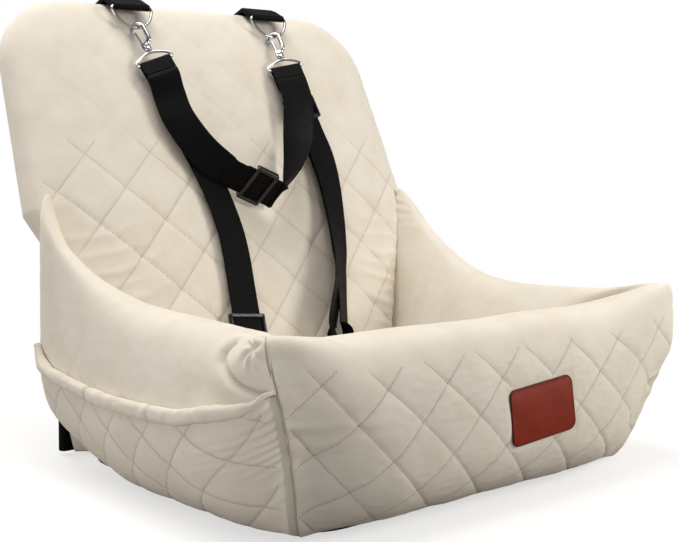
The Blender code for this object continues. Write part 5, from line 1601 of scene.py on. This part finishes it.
def strapFold(name, frame, bar):
    k = clip
    origin, side, front, hang = frame
    face = bar.cross(hang)
    if face.dot(outFront) < 0:
        face = -face
    radius = k["eyeWire"] + k["strapGap"] + strap["thickness"] / 2
    middle = origin + hang * barDown
    path = [(radius, k["foldLength"] * s) for s in (1, 0.75, 0.5, 0.25)]
    path += [(radius * math.cos(math.radians(t)), -radius * math.sin(math.radians(t))) for t in range(0, 181, 12)]
    path += [(-radius, k["foldLength"] * s) for s in (0.25, 0.5, 0.75, 1)]
    centres = [middle + face * x + hang * d for x, d in path]
    fold = woven(name + "StrapFold", *webbingRows(centres, [bar] * len(centres)))
    bendWith(fold,
             [name + "_strap_fold"])
    leave = k["foldLength"] + k["foldGap"]
    return middle + face * radius + hang * leave, middle - face * radius + hang * leave


# strap routes: shares across, up and out from the backrest, and the turn in degrees
crossLeft = [(-0.334, 0.730, 0.434, 26), (-0.319, 0.665, 0.487, 27), (-0.251, 0.585, 0.579, 36),
             (-0.161, 0.530, 0.645, 52)]
crossRight = [(0.353, 0.712, 0.605, 26), (0.311, 0.641, 0.630, 42), (0.258, 0.573, 0.655, 68), (0.191, 0.510, 0.671, 92)]
leftTether = [(-0.310, 0.722, 0.224, 6), (-0.266, 0.638, 0.171, 0), (-0.210, 0.541, 0.158, -2), (-0.180, 0.468, 0.158, -2),
              (-0.163, 0.395, 0.158, -1), (-0.165, 0.333, 0.158, 0), (-0.178, 0.262, 0.158, 0), (-0.191, 0.192, 0.158, 0),
              (-0.204, 0.121, 0.158, 0), (-0.218, 0.065, 0.079, 0)]
rightLoop = [(0.398, 0.750, 0.250, 0), (0.416, 0.696, 0.250, 0), (0.434, 0.641, 0.250, 0), (0.456, 0.575, 0.250, 0),
             (0.459, 0.504, 0.250, -8), (0.442, 0.433, 0.279, -16), (0.412, 0.363, 0.355, -23), (0.374, 0.302, 0.461, -30),
             (0.318, 0.238, 0.566, -36), (0.247, 0.177, 0.632, -38), (0.206, 0.135, 0.645, -38), (0.217, 0.111, 0.579, -38),
             (0.262, 0.105, 0.474, -38), (0.299, 0.133, 0.382, -38), (0.337, 0.198, 0.347, -37), (0.369, 0.262, 0.342, -33),
             (0.391, 0.319, 0.321, -28), (0.417, 0.369, 0.274, -23), (0.442, 0.433, 0.211, -16), (0.459, 0.504, 0.182, -8),
             (0.456, 0.575, 0.182, 0), (0.434, 0.641, 0.182, 0), (0.416, 0.696, 0.182, 0), (0.406, 0.724, 0.182, 0)]
lapMiddle, lapEnd = (-0.016, 0.488, 0.684), (0.074, 0.464, 0.684)
lapShares, lapLength, lapTurn = (-1.15, -0.9, -0.3, 0.3, 0.9), 0.054, 64


def strapLevel(share):
    if share >= strap["clipZone"]:
        return backrest["length"] - (1 - share) * strap["run"]
    return share / strap["clipZone"] * (backrest["length"] - (1 - strap["clipZone"]) * strap["run"])


def sharePoint(shares):
    x, v, n = shares
    return planePoint(x * clip["tab"] * strap["reach"], strapLevel(v), n * strap["width"])


def route(rows, steps, first, hang, bar, lead=0.5):
    points = [first, first + hang * clip["foldLength"] * lead] + [sharePoint(row[:3]) for row in rows]
    flat = outFront.cross(hang).normalized()
    start = math.degrees(math.atan2(bar.dot(outFront), bar.dot(flat)))
    turns = [Vector((start, 0, 0))] * 2 + [Vector((row[3], 0, 0)) for row in rows]
    centres = smooth(points, steps)
    widths = []
    count = len(centres)
    for i, turn in enumerate(smooth(turns, steps)):
        ahead = (centres[min(i + 1, count - 1)] - centres[max(i - 1, 0)]).normalized()
        flat = outFront.cross(ahead).normalized()
        rise = ahead.cross(flat).normalized()
        if rise.dot(outFront) < 0:
            rise = -rise
        widths.append(flat * math.cos(math.radians(turn.x)) + rise * math.sin(math.radians(turn.x)))
    widths[0] = bar if widths[0].dot(bar) > 0 else -bar
    return centres, widths


def lapStrap(name, node, rows, first, frame, bar, direction):
    steps = 5 * strap["fineness"]
    middle = sharePoint(lapMiddle)
    along = (sharePoint(lapEnd) - middle).normalized()
    flat = outFront.cross(along).normalized()
    turn = math.radians(lapTurn)
    wide = flat * math.cos(turn) + outFront * math.sin(turn)
    normal = along.cross(wide)
    if normal.dot(outFront) < 0:
        normal = -normal
    shift = normal * direction * (strap["thickness"] + strap["layerSpace"]) / 2
    ends = [middle + along * lapLength / 2 * x * direction + shift for x in lapShares]
    centres, widths = route(rows, steps, first, frame[3], bar)
    last = smooth([centres[-steps - 1]] + [centres[-1]] + ends, steps)
    lapWidths = []
    for i in range(len(last)):
        target = wide * direction if widths[-1].dot(wide * direction) > 0 else -wide * direction
        lapWidths.append(widths[-1].lerp(target, float(ease(i / (9 * strap["fineness"])))))
    keep = len(centres) - 1
    centres, widths = centres[:keep] + last[steps:], widths[:keep] + lapWidths[steps:]
    cloth = webbingRows(centres, widths, frame[3], 6 * strap["fineness"])
    hungStrap(name, node, cloth, strap["topLength"])
    return middle, along, wide


def sliderPiece(name, node, body, centre, along, wide, halfGap):
    # moulded in one: two end bars in front of the webbing, a middle bar behind it, and side rails
    normal = along.cross(wide)
    if normal.dot(outFront) < 0:
        wide, normal = -wide, -normal
    halfLength, halfOpen, bar, plate = 0.015, strap["width"] / 2 + 0.001, 0.0044, 0.0018
    deep = halfGap + plate
    pieces = []
    for sign in (1, -1):
        spot = centre + wide * sign * (halfOpen + bar / 2)
        pieces.append(softBox("rail", frameOf(spot, along, wide, normal), (halfLength, bar / 2, deep), 0.0016, acetal))
        spot = centre + along * sign * (halfLength - bar / 2) + normal * (halfGap + plate / 2)
        pieces.append(softBox("endBar", frameOf(spot, along, wide, normal), (bar / 2, halfOpen + bar * 0.5, plate / 2),
                              0.00085, acetal))
    spot = centre - normal * (halfGap + plate / 2)
    pieces.append(softBox("middleBar", frameOf(spot, along, wide, normal), (bar / 2, halfOpen + bar * 0.5, plate / 2),
                          0.00085, acetal))
    slider = joined(name, pieces)
    finishPiece(slider, body, [node])


def sliderOn(name, node, body, start, end, place, layers):
    start, end = sharePoint(start), sharePoint(end)
    along = (end - start).normalized()
    wide = outFront.cross(along).normalized()
    halfGap = (layers * strap["thickness"] + (layers - 1) * strap["loopSpace"]) / 2 + clip["gap"]
    sliderPiece(name, node, body, start.lerp(end, place), along, wide, halfGap)


def tabPiece(name, middle):
    # two layers of webbing from the ring up over the top edge to the back, sewn together
    k = clip
    layers = 2 * strap["thickness"]
    crest = k["drop"] + k["gap"]
    over = backrest["thickness"] / 4 + k["ahead"]
    outer = k["wire"] + k["pinGap"] + strap["thickness"]
    tail = 0.046 + k["ahead"]
    points = [(outer * math.cos(math.radians(t)), outer * math.sin(math.radians(t))) for t in range(60, -121, -12)]
    points += [(-outer * 0.95 - 0.0015, 0.001), (-over * 0.75, crest * 0.72), (-over, crest - 0.0004), (-over - 0.006, crest),
               (-tail, crest), (-tail - 0.0004, crest + layers / 2), (-tail, crest + layers)]
    points += [(-over + layers - 0.004, crest + layers), (-over + layers, crest + layers - 0.0003),
               (-over * 0.45, crest * 0.82), (0.0, outer * 1.35)]
    hole = [((k["wire"] + k["pinGap"]) * math.cos(math.radians(t)), (k["wire"] + k["pinGap"]) * math.sin(math.radians(t)))
            for t in range(0, 360, 20)]
    curve = bpy.data.curves.new(name, "CURVE")
    curve.dimensions, curve.fill_mode, curve.extrude = "2D", "BOTH", 0.024 - 0.0006
    curve.bevel_depth, curve.bevel_resolution = 0.0005, 2
    for outline in (points, hole):
        spline = curve.splines.new("POLY")
        spline.points.add(len(outline) - 1)
        for point, (x, y) in zip(spline.points, outline):
            point.co = (x, y, 0, 1)
        spline.use_cyclic_u = True
    holder = bpy.data.objects.new(name, curve)
    bpy.context.scene.collection.objects.link(holder)
    mesh = bpy.data.meshes.new_from_object(holder.evaluated_get(bpy.context.evaluated_depsgraph_get()))
    bpy.data.objects.remove(holder, do_unlink=True)
    mesh.transform(frameOf(planePoint(middle, tabLevel, k["ahead"]), outFront, upBack, -acrossAxis))
    mesh.materials.clear()
    tab = joinUp(name + "Tab", mesh, tabWebbing)
    mergeDoubles(tab)
    mesh.set_sharp_from_angle(angle=math.radians(50))
    finishPiece(tab, "seat", [name + "_tab"])


def beltLoop(name, sign):
    # a sewn webbing loop for the car's belt
    halfY, halfX = 0.0045, 0.030 - strap["thickness"]
    centre = (sign * (b["halfWidth"] - b["thickness"] / 2), b["rear"] + 0.0005 + strap["thickness"] + halfY)
    ring = roundedOutline(halfX + strap["thickness"] / 2, halfY + strap["thickness"] / 2, halfY + 0.0005, 10)[1:]
    count = len(ring)
    rows = []
    half, thick = 0.018, strap["thickness"] / 2
    section = [(half * a, thick * (0.9 + 0.1 * abs(a) ** 6)) for a in np.linspace(-1, 1, 11) * (1 - thick / half)]
    rim = [(half - thick + thick * math.cos(t), thick * math.sin(t)) for t in (0.9, 0.3, -0.3, -0.9)]
    section = section + rim + [(x, -y) for x, y in section[::-1]] + [(-x, -y) for x, y in rim]
    spots, run = [], 0.0
    for i in range(count + 1):
        here, before, after = ring[i % count], ring[(i - 1) % count], ring[(i + 1) % count]
        ahead = Vector((*(after - before), 0)).normalized()
        out = ahead.cross(Vector((0, 0, 1)))
        base = Vector((centre[0] + here[0], centre[1] + here[1], 0.023))
        rows.append([base + Vector((0, 0, x)) + out * y for x, y in section])
        spots.append(run)
        run += float(np.linalg.norm(after - here))
    loop = gridObject(name + "BeltLoop", rows, webbing, capEnds=False)
    mesh = loop.data
    layer = mesh.uv_layers.new(name="weave")
    for polygon in mesh.polygons:
        for k in polygon.loop_indices:
            index = mesh.loops[k].vertex_index
            layer.data[k].uv = (spots[index // len(section)], section[index % len(section)][0])
    mergeDoubles(loop)
    finishPiece(loop, "seat", [name + "_belt_loop"])


def makeStraps():
    clips = {}
    fine = strap["fineness"]
    for name, sign in (("left", -1), ("right", 1)):
        middle = sign * clip["tab"]
        tabPiece(name, middle)
        beltLoop(name, sign)
        dRing(name, middle)
        frame = clipFrame(middle, clip["tilts"][name])
        snapHook(name, frame)
        bar = swivelEye(name, frame)
        clips[name] = (frame, bar, strapFold(name, frame, bar))
    frame, bar, (frontLeg, backLeg) = clips["left"]
    lapStrap("crossStrapLeft", "cross_strap_left", crossLeft, frontLeg, frame, bar, 1)
    centres, widths = route(leftTether, 3 * fine, backLeg, frame[3], bar)
    hungStrap("leftTether", "left_tether", webbingRows(centres, widths, frame[3], 6 * fine),
              strap["topLength"])
    frame, bar, (frontLeg, backLeg) = clips["right"]
    middle, along, wide = lapStrap("crossStrapRight", "cross_strap_right", crossRight, frontLeg, frame, bar, -1)
    sliderPiece("crossSlider", "cross_slider", "cross_slider_body", middle, along, wide,
                strap["thickness"] + strap["layerSpace"] / 2 + clip["gap"])
    centres, turnedWidths = route(rightLoop, 3 * fine, backLeg, frame[3], bar, 0.3)
    angles = [Vector((row[3], 0, 0)) for row in rightLoop]
    level = smooth([angles[0]] * 2 + angles, 3 * fine)
    widths = [acrossAxis * math.cos(math.radians(a.x)) + outFront * math.sin(math.radians(a.x)) for a in level]
    widths[:6 * fine] = turnedWidths[:6 * fine]
    # the loop's own slider sits close under the hook, so the loop's top piece ends above it
    sliderTop = sharePoint((0.398, 0.750, 0.216)).lerp(sharePoint((0.434, 0.641, 0.216)), 0.41)
    room = (sliderTop - centres[0]).dot(frame[3]) - 0.0185
    print("room above the loop's slider", round(room, 4))
    hungStrap("rightLoop", "right_loop", webbingRows(centres, widths, frame[3], 8 * fine),
              room * 0.3)
    sliderOn("leftSlider", "left_slider", "left_slider_body", (-0.178, 0.262, 0.158), (-0.204, 0.121, 0.158), 0.72, 1)
    sliderOn("rightSlider", "right_slider", "right_slider_body", (0.398, 0.750, 0.216), (0.434, 0.641, 0.216), 0.41, 2)


makeStraps()
print("straps and hardware made")


def dressNodes():
    # the small metal parts keep their own shape and get their finish
    for names, material in ((("left_gate", "right_gate", "left_gate_pin", "right_gate_pin"), chrome),
                            (("zip_slider", "zip_pin", "zip_pull"), zipMetal)):
        for name in names:
            for slot in frame["nodes"][name].material_slots:
                slot.material = material


dressNodes()


# a white sweep, a wide softbox above, a near one at the right and a low one at the left
studio = {"fill": "#eef0f5", "fillPower": 0.275, "paper": "#a5a3a0", "glow": 0.62,
          "lamps": (("topSoftbox", (-0.30, 0.20, 1.9), 1.2, 22.5, "#fffcf6"),
                    ("rightSoftbox", (0.95, -1.0, 0.66), 0.6, 10.5, "#fffaf3"),
                    ("leftSoftbox", (-2.0, 0.1, 0.34), 0.8, 8.0, "#fffaf6"),
                    ("backSoftbox", (-0.6, 1.5, 1.5), 1.0, 8.0, "#ffffff"))}


def makeStudio():
    scene = bpy.context.scene
    scene.view_settings.view_transform = "Standard"
    world = bpy.data.worlds.new("studioWorld")
    scene.world = world
    world.use_nodes = True
    tree = world.node_tree
    background = tree.nodes["Background"]
    background.inputs["Color"].default_value = rgb(studio["fill"])
    background.inputs["Strength"].default_value = studio["fillPower"]
    seen = addNode(tree, "ShaderNodeBackground", values={"Color": rgb("#ffffff"), "Strength": 1.0})
    # metal mirrors a white horizon and ceiling, with the dim room between them
    ahead = addNode(tree, "ShaderNodeSeparateXYZ", {0: addNode(tree, "ShaderNodeTexCoord").outputs["Generated"]})
    room = rampBetween(tree, ahead.outputs["Z"], [(0.0, 1.0), (0.16, 0.9), (0.26, 0.10), (0.62, 0.14), (0.85, 1.0)])
    mirrored = addNode(tree, "ShaderNodeBackground", {"Color": room}, {"Strength": 1.0})
    path = addNode(tree, "ShaderNodeLightPath")
    glossy = addNode(tree, "ShaderNodeMixShader", {0: path.outputs["Is Glossy Ray"], 1: background.outputs[0],
                                                   2: mirrored.outputs[0]})
    direct = addNode(tree, "ShaderNodeMath", {0: path.outputs["Is Camera Ray"], 1: path.outputs["Is Transmission Ray"]},
                     operation="MAXIMUM")
    blend = addNode(tree, "ShaderNodeMixShader", {0: direct.outputs[0], 1: glossy.outputs[0], 2: seen.outputs[0]})
    tree.links.new(blend.outputs[0], tree.nodes["World Output"].inputs["Surface"])

    floorMesh = bpy.data.meshes.new("floor")
    reach = 4
    floorMesh.from_pydata([(-reach, -reach, 0), (reach, -reach, 0), (reach, reach, 0), (-reach, reach, 0)], [],
                          [(0, 1, 2, 3)])
    floor = bpy.data.objects.new("floor", floorMesh)
    floor.location.z = -0.0005
    scene.collection.objects.link(floor)
    # lit paper near the seat keeps the shadow; further out the camera sees plain white
    material, tree, shader = newMaterial("paperSweep", studio["paper"], 0.95)
    place = addNode(tree, "ShaderNodeTexCoord").outputs["Object"]
    far = addNode(tree, "ShaderNodeVectorMath", {0: place}, operation="LENGTH")
    spread = addNode(tree, "ShaderNodeMapRange", {0: far.outputs["Value"]}, {1: 0.42, 2: 1.0},
                     interpolation_type="SMOOTHSTEP")
    glow = addNode(tree, "ShaderNodeEmission", values={"Color": rgb("#ffffff"), "Strength": studio["glow"]})
    lit = addNode(tree, "ShaderNodeBsdfDiffuse", values={"Color": rgb("#b9b7b4")})
    near = addNode(tree, "ShaderNodeAddShader", {0: glow.outputs[0], 1: lit.outputs[0]})
    white = addNode(tree, "ShaderNodeEmission", values={"Color": rgb("#ffffff"), "Strength": 1.0})
    shown = addNode(tree, "ShaderNodeMixShader", {0: spread.outputs[0], 1: near.outputs[0], 2: white.outputs[0]})
    path = addNode(tree, "ShaderNodeLightPath")
    blend = addNode(tree, "ShaderNodeMixShader", {0: path.outputs["Is Camera Ray"], 1: shader.outputs[0],
                                                  2: shown.outputs[0]})
    tree.links.new(blend.outputs[0], tree.nodes["Material Output"].inputs["Surface"])
    floorMesh.materials.append(material)
    for name, at, size, power, colour in studio["lamps"]:
        data = bpy.data.lights.new(name, "AREA")
        data.size, data.energy, data.color = size, power, rgb(colour)[:3]
        lamp = bpy.data.objects.new(name, data)
        scene.collection.objects.link(lamp)
        lamp.location = at
        lamp.rotation_euler = (Vector((0, 0, 0.18)) - lamp.location).to_track_quat("-Z", "Y").to_euler()


makeStudio()
print("studio made")
